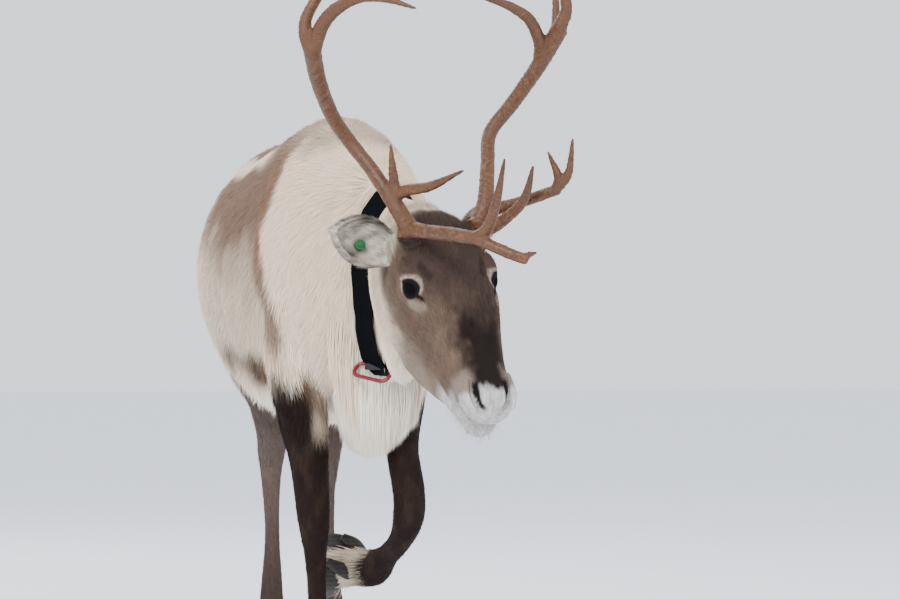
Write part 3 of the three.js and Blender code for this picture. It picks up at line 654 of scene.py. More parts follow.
def eye_frame(side):
    """The way along, up and out of an eye in the head's frame."""
    outward = unit(mirrored((0.84, -0.42, 0.34), side))
    forward = mirrored((-0.5, -0.8, 0.3), side)
    upward = unit(np.cross(outward, forward)) * -side
    along = unit(np.cross(upward, outward)) * -side
    return along, upward, outward


def eye_ring(h, side):
    """How far head places lie along and above an eye, round its long shape, and from its middle."""
    rel = h - mirrored(EYE_PLACE, side)
    along, upward, _ = eye_frame(side)
    a, u = rel @ along, rel @ upward
    return a, u, np.sqrt((a / EYE_LONG) ** 2 + u**2), np.linalg.norm(rel, axis=1)


def line_distance(points, line):
    """Distance of points from a line of straight lengths."""
    line = np.asarray(line, float)
    best = np.full(len(points), 1e9)
    for start, end in zip(line[:-1], line[1:]):
        way = end - start
        t = np.clip(((points - start) @ way) / (way @ way), 0, 1)
        best = np.minimum(best, np.linalg.norm(points - start - t[:, None] * way, axis=1))
    return best


def nostril_distance(h, side):
    """Distance of head places from a nostril's slit and from the hollow behind it."""
    inward = mirrored((-0.7, 0.6, -0.25), side)
    lines = [mirrored(NOSTRIL_SLIT, side) + inward * depth for depth in (0, 6, 12)]
    return np.min([line_distance(h, line) for line in lines], axis=0)


def mouth_offset(h):
    """Height of head places above the line between the lips."""
    line = np.array(MOUTH_LINE, float)[::-1]
    return h[:, 2] - np.interp(h[:, 1], line[:, 0], line[:, 1])


def face_colours(p):
    """Grey-brown with a dark bridge and brow, thin pale eye rings, cream cheeks and a frosted nose, with
    painted shade in the nostrils and between the lips.
    """
    h = to_head(p)
    y, z = h[:, 1], h[:, 2]
    rough = mottle(h, 34, 31)
    fine = mottle(h * (1, 0.4, 1), 9, 33)
    colour = np.tile(FACE_MID, (len(p), 1)) * (1 + 0.05 * rough + 0.10 * fine)[:, None]
    colour = blend_to(colour, BROW, ramp(z + 7 * rough, -44, -14) * ramp(y, -150, -80))
    colour = blend_to(colour, CHEEK, ramp(z + 10 * rough, -64, -140) * 0.32)
    bridge = ramp(np.abs(h[:, 0] - 13) + 7 * rough, 62, 24) * ramp(z, -48, -16)
    bridge *= ramp(y + 7 * rough + 4 * fine, -64, -196)
    colour = blend_to(colour, FACE_DARK, bridge)
    cheek = ramp(z + 8 * rough, -96, -136) * ramp(y, -150, -80)
    cheek = np.maximum(cheek, ramp(y + 8 * rough, -24, 14) * ramp(z, -16, -52))
    colour = blend_to(colour, CREAM, cheek * 0.66)
    colour = blend_to(colour, GRIZZLED, ramp(y + 6 * rough, -236, -258) * ramp(np.abs(h[:, 0]), 16, 34) * 0.7)
    frost = ramp(y + 5 * rough + 3 * fine, -272, -287)
    frost = np.maximum(frost, ramp(z + 3 * fine, -56, -68) * ramp(y, -240, -268))
    frost = np.maximum(frost, ramp(z, -80, -90) * ramp(y, -214, -240))
    colour = blend_to(colour, MUZZLE, frost * np.clip(0.84 + 0.16 * fine + 0.14 * fine_hair(h), 0, 1))
    for side in (RIGHT, LEFT):
        colour = eye_colours(colour, h, side)
        # Painted shade in the hollow of each nostril
        hollow = ramp(nostril_distance(h, side), 6.5, 4.2) * ramp(y, -262, -272) * ramp(y, -310, -302)
        colour = blend_to(colour, BLACK_SKIN_AND_SHADE, hollow)
    # Painted shade in the line between the lips
    lip = np.abs(mouth_offset(h))
    return blend_to(colour, BLACK_SKIN_AND_SHADE, ramp(lip, 3.4, 1.6) * ramp(y, -252, -276))


def fine_hair(h):
    """Small uneven patches of hair on the head."""
    return mottle(h, 6, 34)


def eye_colours(colour, h, side):
    """Black lids with a tear corner, a thin pale rim above and behind, a pale patch below and painted shade
    in the fold above the lid.
    """
    a, u, ring, distance = eye_ring(h, side)
    flat = np.column_stack([a, u])
    near = ramp(distance, 62, 48)
    rim = ramp(ring, 21.5, 18.5) * ramp(ring, 14.5, 17) * ramp(u - 0.35 * a, -12, 0)
    below = ramp(line_distance(flat, [(14, -18), (40, -15)]), 10, 4)
    colour = blend_to(colour, CHEEK, np.maximum(rim * (0.34 + 0.2 * fine_hair(h)), below * 0.24) * near)
    # Painted shade in the fold above the upper lid
    lid_fold_shade = ramp(line_distance(flat, [(-6, 30), (20, 24)]), 7, 2)
    colour = blend_to(colour, FACE_DARK, lid_fold_shade * near * 0.6)
    colour = blend_to(colour, BLACK_SKIN_AND_SHADE, ramp(ring, 16.6, 14.6) * near)
    tear = line_distance(flat, [(12, -2), (33, -4)]) + 0.06 * np.maximum(a - 12, 0)
    return blend_to(colour, BLACK_SKIN_AND_SHADE, ramp(tear, 4.6, 2.4) * near)


def ear_colours(p, normals, name):
    """Grey-brown outside and frosted white in the cup, with dark streaks, smudges and rim."""
    h = to_head(p)
    root, tip, facing = (np.array(v, float) for v in EARS[name])
    axis = unit(tip - root)
    rel = h - root
    along = rel @ axis / np.linalg.norm(tip - root)
    facing = unit(facing - (facing @ axis) * axis)
    side = np.cross(axis, facing)
    front = (normals @ HEAD_TURN) @ facing
    across = rel @ side
    half = np.interp(along, [t for t, _ in EAR_LEAF], [w for _, w in EAR_LEAF])
    fine = mottle(h * (0.4, 1, 1), 12, 35)
    colour = np.tile(WHITE_HAIR, (len(p), 1))
    colour = blend_to(colour, GRIZZLED, 0.5 + 0.3 * fine)
    outside = ramp(front, 0.1, -0.4)
    colour = blend_to(colour, FACE_MID, outside * 0.75)
    streaks = ramp(across / half, 0.15, 0.8) * ramp(fine, 0.0, 0.7)
    colour = blend_to(colour, EAR_DARK, streaks * 0.55 * (1 - outside))
    rim = ramp(across / half, 0.72, 0.95) + 0.5 * ramp(-across / half, 0.8, 0.97)
    flat = np.column_stack([along * 120, across])
    smudge = blob(flat, (76, -24), (13, 8)) + blob(flat, (62, -6), (12, 11)) * 0.7
    colour = blend_to(colour, EAR_DARK, rim * ramp(along, 0.05, 0.25) * 0.8)
    return blend_to(colour, EAR_DARK, smudge * (1 - outside) * 0.9)


# Feet


def foot_matrix(name):
    """A foot's own frame: across, back and up from the middle of its sole."""
    _, at, toe, sole = LEGS[name]
    up = unit(-np.array(sole, float))
    across = unit(np.cross(-np.array(toe, float), up))
    back = unit(np.cross(up, across))
    matrix = np.eye(4)
    matrix[:3, :3] = np.column_stack([across, back, up])
    matrix[:3, 3] = at
    return matrix


def to_foot(points, name):
    """Places of the animal in a foot's own frame."""
    foot = foot_matrix(name)
    return (points - foot[:3, 3]) @ foot[:3, :3]


def near_foot(local):
    """1 at a foot, 0 above its pastern."""
    return ramp(np.linalg.norm(local, axis=1), 150, 115)


# Skin


def head_body_parts():
    """The bodies of the head in its own frame, as name, places and way ahead."""
    return [
        ("skull", *rounded_body(head_rows(SKULL), 48, 6, ACROSS, (14, 16), (2.2, 2.5), -COAT_DEPTH["skull"])),
        ("jaw", *rounded_body(head_rows(JAW), 36, 6, ACROSS, (10, 14), (2.3, 2), -COAT_DEPTH["jaw"])),
    ]


def animal_body_parts():
    """The bodies of the trunk, neck, tail and legs, as name, places and way ahead."""
    parts = [
        ("trunk", *rounded_body(TRUNK, 56, 5, ACROSS, (26, 14), (1.85, 2.1), -COAT_DEPTH["trunk"])),
        ("neck", *rounded_body(NECK, 48, 5, ACROSS, (10, 10), (2, 2), -COAT_DEPTH["neck"])),
        ("mane", *rounded_body(MANE_CORE, 32, 5, ACROSS, (8, 0), (2, 2), -COAT_DEPTH["mane"])),
        ("tail", *rounded_body(TAIL, 24, 6, ACROSS, (6, 4), (2, 2), -COAT_DEPTH["tail"])),
    ]
    for name, (rows, *_) in LEGS.items():
        parts.append((name, *rounded_body(rows, 28, 6, ACROSS, (20, 14), (2, 2), -COAT_DEPTH["leg"])))
    return parts


# Forms of the face, in the head's frame: a ball's middle and half-sizes
PAIRED_BALLS = [((64, -58, -30), (16, 28, 13)), ((30, -150, -42), (16, 60, 22))]
MIDDLE_BALLS = [((0, -288, -96), (27, 26, 16)), ((0, -300, -48), (33, 20, 22))]
ANTLER_STUMP = [(44, -4, -20, 19), (56, -5, 4, 16)]
NAPE = [(0, 75, -95, 46, 50, 55), (0, 20, -92, 52, 58, 66)]


def face_forms(bm):
    """Brow ridges, cheeks, lids, nostril wings, antler stumps, chin and nose, added to the head."""
    for side in (RIGHT, LEFT):
        for centre, sizes in PAIRED_BALLS:
            add_ball(bm, placed(from_head(mirrored(centre, side))), np.array(sizes) * MM, HEAD_TURN)
        lids = (EYE_RADIUS + LID_THICK - 0.6) * MM
        add_ball(bm, placed(from_head(mirrored(EYE_PLACE, side))), [lids] * 3)
        wing = [(*mirrored((x, y, z), side), r - 2, r - 2, r - 2) for x, y, z, r in NOSTRIL_WING]
        stump = [(*mirrored((x, y, z), side), r, r, r) for x, y, z, r in ANTLER_STUMP]
        for rows, caps in ((wing, (8, 8)), (stump, (4, 2))):
            places, _ = rounded_body(rows, 20, 6, None, caps)
            add_body(bm, placed(from_head(places)))
    for centre, sizes in MIDDLE_BALLS:
        add_ball(bm, placed(from_head(centre)), np.array(sizes) * MM, HEAD_TURN)


def head_skin():
    bm = bmesh.new()
    for _, places, _ in head_body_parts():
        add_body(bm, placed(from_head(places)))
    face_forms(bm)
    add_body(bm, placed(from_head(rounded_body(NAPE, 32, 4, ACROSS, (12, 6))[0])))
    skin = smoothed(remeshed("head_skin", bm, HEAD_VOXEL), 10)
    for name in EARS:
        outer, inner = ear_bodies(name)
        leaf, hollow = bmesh.new(), bmesh.new()
        add_body(leaf, placed(from_head(outer[0])))
        add_body(hollow, placed(from_head(inner[0])))
        ear = combined(new_object("leaf", leaf), new_object("hollow", hollow), "DIFFERENCE")
        fine = bmesh.new()
        fine.from_mesh(ear.data)
        bpy.data.objects.remove(ear)
        skin = combined(skin, smoothed(remeshed("ear", fine, HEAD_VOXEL), 8), "UNION")
    return carved(skin)


def carved(skin):
    """Presses the nostrils and the line of the mouth into the head, and opens the lids."""
    mesh = skin.data
    h = to_head(unplaced(vertex_places(mesh)))
    inward = -vertex_normals(mesh)
    depth = 4.5 * np.exp(-(mouth_offset(h) / 2.4) ** 2) * ramp(h[:, 1], -244, -268)
    for side in (RIGHT, LEFT):
        slit = line_distance(h, mirrored(NOSTRIL_SLIT, side))
        depth = np.maximum(depth, 13.0 * np.exp(-(slit / 6.2) ** 2))
    set_places(mesh, vertex_places(mesh) + inward * (depth * MM)[:, None])
    for side in (RIGHT, LEFT):
        centre = placed(from_head(mirrored(EYE_PLACE, side)))
        along, upward, outward = eye_frame(side)
        turn = HEAD_TURN @ np.column_stack([along * side, upward, outward])
        cutter = bmesh.new()
        add_ball(cutter, centre, [(EYE_RADIUS + 0.4) * MM] * 3, around=48)
        skin = combined(skin, new_object("socket", cutter), "DIFFERENCE")
        cutter = bmesh.new()
        opening = placed(from_head(mirrored(EYE_PLACE, side) + outward * 28))
        add_ball(cutter, opening, np.array(EYE_OPENING) * MM, turn, around=48)
        skin = combined(skin, new_object("opening", cutter), "DIFFERENCE")
    return skin


def lie_of(name, p, ahead):
    """The way the hair lies on a part: back along the body, down the limbs, out to an ear's tip."""
    if name in ("skull", "jaw"):
        back = HEAD_TURN @ np.array([0, 1.0, 0.1])
        h = to_head(p)
        spread = np.sign(h[:, :1]) * ramp(h[:, 2], 0, -90)[:, None] * 0.25
        down = 0.35 * ramp(h[:, 2], -20, -110)[:, None]
        return unit(back + spread * HEAD_TURN[:, 0] - down * HEAD_TURN[:, 2])
    if name == "trunk":
        down = ramp(np.abs(p[:, 0]), 20, 120) * 1.0 + ramp(p[:, 1], 40, -90) * 0.9
        return unit(np.column_stack([np.zeros(len(p)), np.ones(len(p)), -down]))
    if name == "neck":
        down = 0.7 + ramp(p[:, 2], 800, 600) * 1.9
        return unit(np.column_stack([np.zeros(len(p)), np.ones(len(p)), -down]))
    if name == "mane":
        return np.tile(unit((0.0, 0.25, -1.0)), (len(p), 1))
    if name.startswith("ear"):
        root, tip, _ = EARS[name[4:]]
        return np.tile(HEAD_TURN @ unit(np.subtract(tip, root)), (len(p), 1))
    return ahead


PART_NAMES = ["trunk", "neck", "mane", "tail", "skull", "jaw", "ear_right", "ear_left", *LEGS]

# Coat of each part: length and width of a tuft in mm, lift, and how dense it is beside the others
COAT_SHAPE = {
    "trunk": (34, 2.3, 0.10, 1), "neck": (33, 2.2, 0.10, 1),
    "mane": (40, 2.4, 0.12, 1), "tail": (46, 3.0, 0.2, 1),
    "skull": (7.5, 1.1, 0.2, 1), "jaw": (9, 1.2, 0.2, 0.9),
    "ear_right": (10, 1.1, 0.22, 0.8), "ear_left": (10, 1.1, 0.22, 0.8),
    "front_right": (14, 1.6, 0.13, 1), "front_left": (14, 1.6, 0.13, 1),
    "hind_right": (15, 1.7, 0.13, 0.8), "hind_left": (15, 1.7, 0.13, 0.8),
}


def guide_points():
    """Points on every part, with the part's number and the way its hair lies there."""
    bodies = [(name, at.reshape(-1, 3), ahead.reshape(-1, 3)) for name, at, ahead in animal_body_parts()]
    for name, at, ahead in head_body_parts():
        bodies.append((name, from_head(at.reshape(-1, 3)), ahead.reshape(-1, 3) @ HEAD_TURN.T))
    for name in EARS:
        at = from_head(ear_bodies(name)[0][0].reshape(-1, 3))
        bodies.append(("ear_" + name, at, at))
    places = np.concatenate([at for _, at, _ in bodies])
    parts = np.concatenate([np.full(len(at), PART_NAMES.index(name)) for name, at, _ in bodies])
    lies = np.concatenate([lie_of(name, at, ahead) for name, at, ahead in bodies])
    return places, parts, lies


def white_hair(p):
    return np.tile(WHITE_HAIR, (len(p), 1))


PAINTERS = {
    "trunk": trunk_colours, "neck": neck_colours, "mane": neck_colours, "skull": face_colours,
    "jaw": face_colours, "tail": white_hair,
}


def painted(name, p, normals):
    """Colours of a part at the given places."""
    if name in PAINTERS:
        return PAINTERS[name](p)
    if name.startswith("ear"):
        return ear_colours(p, normals, name[4:])
    return leg_colours(p, name)


def coat_fields(skin):
    """Stores on the skin how its hair lies, how long and dense it is, its part and its colour."""
    mesh = skin.data
    p = unplaced(vertex_places(mesh))
    edges = mesh_edges(mesh)
    places, parts, lies = guide_points()
    nearest = nearest_guides(p, places)
    shares = np.zeros((len(p), len(PART_NAMES)))
    shares[np.arange(len(p)), parts[nearest]] = 1
    shares = evened(shares, edges, 8)
    lie = evened(lies[nearest], edges, 12)
    normals = vertex_normals(mesh)
    lie = unit(lie - np.sum(lie * normals, 1)[:, None] * normals)
    colour = np.zeros((len(p), 3))
    for k, name in enumerate(PART_NAMES):
        some = shares[:, k] > 1e-3
        colour[some] += shares[some, k:k + 1] * painted(name, p[some], normals[some])
    shape = coat_shape(p, normals, shares)
    store(mesh, "lie", lie, "FLOAT_VECTOR")
    store(mesh, "coat", np.clip(colour, 0, 1), "FLOAT_COLOR")
    store(mesh, "length_width_lift", shape[:, :3], "FLOAT_VECTOR")
    store(mesh, "density", shape[:, 3], "FLOAT")
    store(mesh, "part", np.argmax(shares, 1).astype(float), "FLOAT")


LENGTH, WIDTH, LIFT, DENSITY = range(4)


def coat_shape(p, normals, shares):
    """Length, width, lift and density of the hair: by part, and then by the place on it."""
    shape = shares @ np.array([COAT_SHAPE[name] for name in PART_NAMES], float)
    face = shares[:, PART_NAMES.index("skull")] + shares[:, PART_NAMES.index("jaw")]
    clear = face_hair(to_head(p), face, shape)
    for name in LEGS:
        leg_hair(to_foot(p, name), shares[:, PART_NAMES.index(name)], shape)
    before = (p - STRAP_FRONT) @ unit(STRAP_FRONT - STRAP_REAR)
    tucked = np.where(before > 0, np.clip(before / 52, 0.14, 1), 1)
    shape[:, LENGTH] *= tucked * (1 - face) + face
    belly = ramp(normals[:, 2], -0.25, -0.8) * shares[:, PART_NAMES.index("trunk")]
    shape[:, LENGTH] *= 1 + 0.6 * belly
    shape[:, LIFT] *= 1 + 1.6 * belly
    shape[:, DENSITY] *= clear * (1 - strap_cover(p) * (1 - face))
    return shape


def face_hair(h, face, shape):
    """Shorter hair towards the nose and the eyes and longer on the cheeks. Returns 0 inside nostrils,
    lips and lids, which have none, and 1 elsewhere."""
    shorter = 1 - 0.5 * face * ramp(h[:, 1], -120, -250)
    cheeks = 1 + 0.9 * face * ramp(h[:, 1], -90, 20)
    shape[:, LENGTH] *= shorter * cheeks
    shape[:, DENSITY] *= 1 - 0.35 * face * ramp(h[:, 1], -60, 20)
    clear = np.ones(len(h))
    for side in (RIGHT, LEFT):
        _, _, ring, distance = eye_ring(h, side)
        shape[:, LENGTH] *= 1 - 0.55 * ramp(distance, 40, 24)
        clear *= 1 - ramp(ring, 18.5, 16.5) * ramp(distance, 40, 30)
        clear *= ramp(line_distance(h, mirrored(NOSTRIL_SLIT, side)), 7, 9.5)
    mouth = np.abs(mouth_offset(h)) + 40 * ramp(h[:, 1], -250, -236)
    return clear * (1 - face * ramp(mouth, 3.2, 2.0))


def leg_hair(local, share, shape):
    """Short hair on the lower leg, a long fringe over the hoof and long hair at the top."""
    distance = np.linalg.norm(local, axis=1)
    shape[:, LENGTH] *= 1 - 0.35 * share * ramp(distance, 520, 300) * ramp(distance, 90, 130)
    fringe = share * ramp(local[:, 2], 100, 76) * near_foot(local)
    shape *= 1 + fringe[:, None] * (3.0, 0.7, 1.2, 1.5)
    high = share * ramp(distance, 380, 520)
    shape *= 1 + high[:, None] * (1.1, 0.5, 0.0, -0.35)


def body_skin():
    bm = bmesh.new()
    for _, places, _ in animal_body_parts():
        add_body(bm, placed(places))
    skin = smoothed(remeshed("skin", bm, BODY_VOXEL), 14)
    mesh = skin.data
    places = vertex_places(mesh)
    soft = evened(places, mesh_edges(mesh), 34)
    share = ramp(unplaced(places)[:, 2], 470, 540)[:, None]
    set_places(mesh, places + (soft - places) * share)
    return pressed(skin)


def pressed(skin):
    """Draws the neck in where the collar goes round it."""
    mesh = skin.data
    p = unplaced(vertex_places(mesh))
    rel = p - strap_middle(0.5)
    ahead = unit(STRAP_FRONT - STRAP_REAR)
    across = np.cross(ahead, UP)
    sideways = rel @ across
    reach = np.hypot(sideways, rel[:, 2])
    turn = np.arctan2(rel[:, 2], sideways)
    turns = np.linspace(-np.pi, np.pi, STRAP_STEPS)
    seat = np.interp(turn, turns, strap_reach(turns, 0.5)) - 6
    over = np.maximum(reach - seat, 0) * strap_cover(p) * ramp(reach, 230, 200)
    inward = -(across * sideways[:, None] + UP * rel[:, 2:3]) / np.maximum(reach, 1)[:, None]
    set_places(mesh, placed(p + inward * over[:, None]))
    return skin


# Tufts


# No hair goes lower than this above the ground, in metres
LEAST_HEIGHT = 0.0006


def strand_faces(rings):
    """Corners and sizes of the faces of one strand: its sides, its tip and the cap at its root."""
    sides = []
    for k in range(rings - 1):
        a, b = 3 * k, 3 * k + 3
        sides += [(a + 1, b + 1, b + 2, a + 2), (a + 2, b + 2, b, a), (a, b, b + 1, a + 1)]
    last, end = 3 * (rings - 1), 3 * rings
    tip = [(last + 1, end, last + 2), (last + 2, end, last), (last, end, last + 1)]
    faces = [*sides, *tip, (0, 2, 1)]
    return np.array([corner for face in faces for corner in face]), np.array([len(face) for face in faces])


def strand_mesh(name, verts, count, rings):
    """A mesh of separate strands from the places of their corners, and the corners of its faces."""
    pattern, sizes = strand_faces(rings)
    per = rings * 3 + 1
    corners = (np.arange(count)[:, None] * per + pattern[None]).ravel()
    starts = np.concatenate([[0], np.cumsum(np.tile(sizes, count))[:-1]])
    mesh = bpy.data.meshes.new(name)
    mesh.vertices.add(count * per)
    mesh.vertices.foreach_set("co", verts.astype(np.float32).ravel())
    mesh.loops.add(len(corners))
    mesh.loops.foreach_set("vertex_index", corners.astype(np.int32))
    mesh.polygons.add(len(starts))
    mesh.polygons.foreach_set("loop_start", starts.astype(np.int32))
    mesh.polygons.foreach_set("use_smooth", np.zeros(len(starts), bool))
    mesh.update(calc_edges=True)
    return mesh, corners


def strands(name, paths, sides, ups, widths, colours, homes, random):
    """One piece of closed, tapered, three-sided strands. Paths are rows of places from root to tip."""
    count, rows = paths.shape[:2]
    rings = rows - 1
    share = np.linspace(0, 1, rows)
    half = widths[:, None] * 0.5 * (1 - share[None, :-1] ** 1.7)
    left = paths[:, :-1] - sides[:, None] * half[..., None]
    right = paths[:, :-1] + sides[:, None] * half[..., None]
    ridge = paths[:, :-1] + ups[:, None] * (half * 0.5)[..., None]
    ringed = np.stack([left, right, ridge], 2).reshape(count, rings * 3, 3)
    verts = np.concatenate([ringed, paths[:, -1:]], 1)
    mesh, corners = strand_mesh(name, verts, count, rings)
    across = np.append(np.tile([0.0, 1.0, 0.5], rings), 0.5)
    along = np.append(np.repeat(share[:-1], 3), 1.0)
    number = random.uniform(0, 60, count)
    strand = np.stack(np.broadcast_arrays(across[None], along[None], number[:, None]), 2).reshape(-1, 3)
    store(mesh, "strand", strand, "FLOAT_VECTOR")
    store(mesh, "coat", np.repeat(np.clip(colours, 0, 1), verts.shape[1], axis=0), "FLOAT_COLOR")
    places = homes[:, None] + (np.column_stack([across, along])[None] - 0.5) * BAKE_PATCH
    layer = mesh.uv_layers.new(name="OFBake")
    layer.data.foreach_set("uv", places.reshape(-1, 2)[corners].astype(np.float32).ravel())
    return new_object(name, mesh=mesh)


class Skin:
    """The skin's triangles with all that its coat needs."""

    def __init__(self, mesh):
        mesh.calc_loop_triangles()
        self.tri = read_values(mesh.loop_triangles, "vertices", 3, np.int32)
        loops = read_values(mesh.loop_triangles, "loops", 3, np.int32)
        self.uv = read_values(mesh.uv_layers["OFBake"].data, "uv", 2)[loops]
        self.places = vertex_places(mesh)
        self.normals = vertex_normals(mesh)
        self.lie = stored(mesh, "lie")
        self.colour = stored(mesh, "coat")
        self.shape = stored(mesh, "length_width_lift")
        self.density = stored(mesh, "density")[:, 0]
        self.part = stored(mesh, "part")[:, 0].astype(int)
        a, b, c = (self.places[self.tri[:, k]] for k in range(3))
        self.area = np.linalg.norm(np.cross(b - a, c - a), axis=1) / 2

    def roots(self, keep, count, random):
        """Roots spread over the triangles that are kept, as their triangle and share of its corners."""
        reach = np.cumsum(self.area * self.density[self.tri].mean(1) * keep)
        at = (np.arange(count) + random.uniform(0, 1, count)) / count * reach[-1]
        face = np.minimum(np.searchsorted(reach, at), len(self.tri) - 1)
        a, b = random.uniform(0, 1, (2, count))
        flip = a + b > 1
        a, b = np.where(flip, 1 - a, a), np.where(flip, 1 - b, b)
        return face, np.column_stack([1 - a - b, a, b])

    def at(self, values, face, share):
        """Values of the skin's corners at the roots."""
        return np.einsum("nk,nkj->nj", share, values[self.tri[face]])

    def home(self, face, share):
        """The roots' places on the skin's own unwrap."""
        return np.einsum("nk,nkj->nj", share, self.uv[face])


def coat_piece(name, skin, keep, random, count, material, slot, speckle):
    """One piece of the coat: a straight tuft at each root, lying the way the hair lies there."""
    face, share = skin.roots(keep, count, random)
    root = skin.at(skin.places, face, share)
    normal = unit(skin.at(skin.normals, face, share))
    lie = unit(skin.at(skin.lie, face, share))
    length, width, lift = skin.at(skin.shape, face, share).T
    colour = skin.at(skin.colour, face, share)
    p = unplaced(root)
    swirl = 0.16 * mottle(p, 130, 51, 2) + random.normal(0, 0.09, count)
    side = unit(np.cross(lie, normal))
    lie = unit(lie + side * swirl[:, None])
    side = unit(np.cross(lie, normal))
    clump = mottle(p, 30, 52, 2)
    length = length * MM * random.uniform(0.75, 1.2, count) * (1 + 0.1 * clump)
    width = width * MM * random.uniform(0.7, 1.2, count)
    lift = np.clip(lift * (1 + 0.25 * clump) * random.uniform(0.6, 1.45, count), 0.04, 0.6)
    base = root - normal * (width * 0.5)[:, None]
    bend = length * 0.10 * swirl
    tip = root + lie * length[:, None] + normal * (length * lift)[:, None] + side * bend[:, None]
    roll = random.normal(0, 0.28, count)
    turned = side * np.cos(roll)[:, None] + normal * np.sin(roll)[:, None]
    up = normal * np.cos(roll)[:, None] - side * np.sin(roll)[:, None]
    tone = 1 + speckle * random.normal(0, 1, count) + 0.03 * clump
    colour = colour * np.clip(tone, 0.65, 1.3)[:, None]
    home = skin.home(face, share)
    paths = np.stack([base, tip], 1)
    paths[..., 2] = np.maximum(paths[..., 2], LEAST_HEIGHT)
    piece = strands(name, paths, turned, up, width, colour, home, random)
    return finished(piece, material, slot)


# Lowest reach of the throat mane by x, in mm
MANE_EDGE = [(-57, 500), (-41, 452), (-24, 407), (1, 394), (15, 396), (35, 406), (72, 440), (88, 470)]


def mane_piece(name, skin, keep, random, count, material):
    """Long smooth hair that hangs from the throat and ends in a fringe."""
    face, share = skin.roots(keep, count, random)
    root = unplaced(skin.at(skin.places, face, share))
    normal = unit(skin.at(skin.normals, face, share))
    colour = skin.at(skin.colour, face, share)
    edge = np.interp(root[:, 0], *zip(*MANE_EDGE)) + random.gamma(1.4, 3.4, count)
    drop = np.minimum(np.maximum(root[:, 2] - edge, 22), random.uniform(80, 165, count))
    drift = np.column_stack([-0.10 * (root[:, 0] - 10), random.normal(9, 5, count), -drop])
    drift[:, 0] += random.normal(0, 3.0, count) + 4 * mottle(root, 40, 71, 2)
    rows = []
    for t in (0.0, 0.45, 1.0):
        out = normal * (1, 1, 0.25) * (7 * math.sin(math.pi * min(t * 1.3, 1)) + 1.5 * t - 1.5)
        rows.append(root + out + drift * (t * t * 0.35 + t * 0.65, t * t, t))
    paths = placed(np.stack(rows, 1))
    side = unit(np.cross(drift, normal) + 1e-6)
    up = unit(np.cross(side, drift))
    tone = np.clip(1 + 0.04 * random.normal(0, 1, count), 0.85, 1.12)
    home = skin.home(face, share)
    width = random.uniform(1.6, 2.8, count) * MM
    piece = strands(name, paths, side, up, width, colour * tone[:, None], home, random)
    return finished(piece, material, "body_coat")


def whisker_piece(name, skin, keep, random, count, material):
    """Stiff pale hairs round the lips and chin."""
    face, share = skin.roots(keep, count, random)
    root = skin.at(skin.places, face, share)
    way = unit(unit(skin.at(skin.normals, face, share)) + (0, 0, -0.5) + random.normal(0, 0.25, (count, 3)))
    length = random.uniform(7, 17, count) * MM
    rows = [root + (way * t + np.array([0, 0, -0.25]) * t * t) * length[:, None] for t in (0.0, 0.5, 1.0)]
    side = unit(np.cross(way, UP))
    home = skin.home(face, share)
    colour = np.tile(MUZZLE, (count, 1))
    width = np.full(count, 0.9) * MM
    piece = strands(name, np.stack(rows, 1), side, np.cross(side, way), width, colour, home, random)
    return finished(piece, material, "face_coat")


# Materials


def new_material(name, roughness, **sockets):
    """A material, its node tree and its shader with the given values set."""
    material = bpy.data.materials.new(name)
    material.use_nodes = True
    tree = material.node_tree
    shader = tree.nodes["Principled BSDF"]
    shader.inputs["Roughness"].default_value = roughness
    for key, value in sockets.items():
        shader.inputs[key.replace("_", " ")].default_value = value
    return material, tree, shader


def feed(tree, socket, value):
    """Links a socket to another node's output, or sets its value."""
    if isinstance(value, bpy.types.NodeSocket):
        tree.links.new(value, socket)
    else:
        socket.default_value = value


def node(tree, kind, inputs=None, **settings):
    """A new node with its settings, and its inputs linked or set."""
    made = tree.nodes.new(kind)
    for key, value in settings.items():
        setattr(made, key, value)
    for key, value in (inputs or {}).items():
        feed(tree, made.inputs[key], value)
    return made


def math_node(tree, operation, first, second):
    return node(tree, "ShaderNodeMath", {0: first, 1: second}, operation=operation).outputs[0]


def mixed(tree, factor, first, second):
    """The first colour turning into the second by a factor."""
    made = node(tree, "ShaderNodeMix", data_type="RGBA")
    colours = [c if isinstance(c, bpy.types.NodeSocket) else (*c, 1) for c in (first, second)]
    for key, value in zip(("Factor_Float", "A_Color", "B_Color"), (factor, *colours)):
        feed(tree, next(s for s in made.inputs if s.identifier == key), value)
    return next(s for s in made.outputs if s.identifier == "Result_Color")


def noise(tree, vector, scale, detail, roughness=0.5):
    inputs = {"Vector": vector, "Scale": scale, "Detail": detail, "Roughness": roughness}
    return node(tree, "ShaderNodeTexNoise", inputs).outputs["Fac"]


def attribute(tree, name, output="Vector"):
    return node(tree, "ShaderNodeAttribute", attribute_name=name).outputs[output]


def bump(tree, shader, height, strength, distance):
    made = node(tree, "ShaderNodeBump", {"Height": height, "Strength": strength, "Distance": distance})
    tree.links.new(made.outputs["Normal"], shader.inputs["Normal"])


def new_group(name, inputs, outputs):
    """A shader node group with named sockets, and its input and output nodes."""
    group = bpy.data.node_groups.new(name, "ShaderNodeTree")
    for key, kind, value in inputs:
        socket = group.interface.new_socket(name=key, in_out="INPUT", socket_type=kind)
        if value is not None:
            socket.default_value = value
    for key, kind in outputs:
        group.interface.new_socket(name=key, in_out="OUTPUT", socket_type=kind)
    return group, group.nodes.new("NodeGroupInput"), group.nodes.new("NodeGroupOutput")


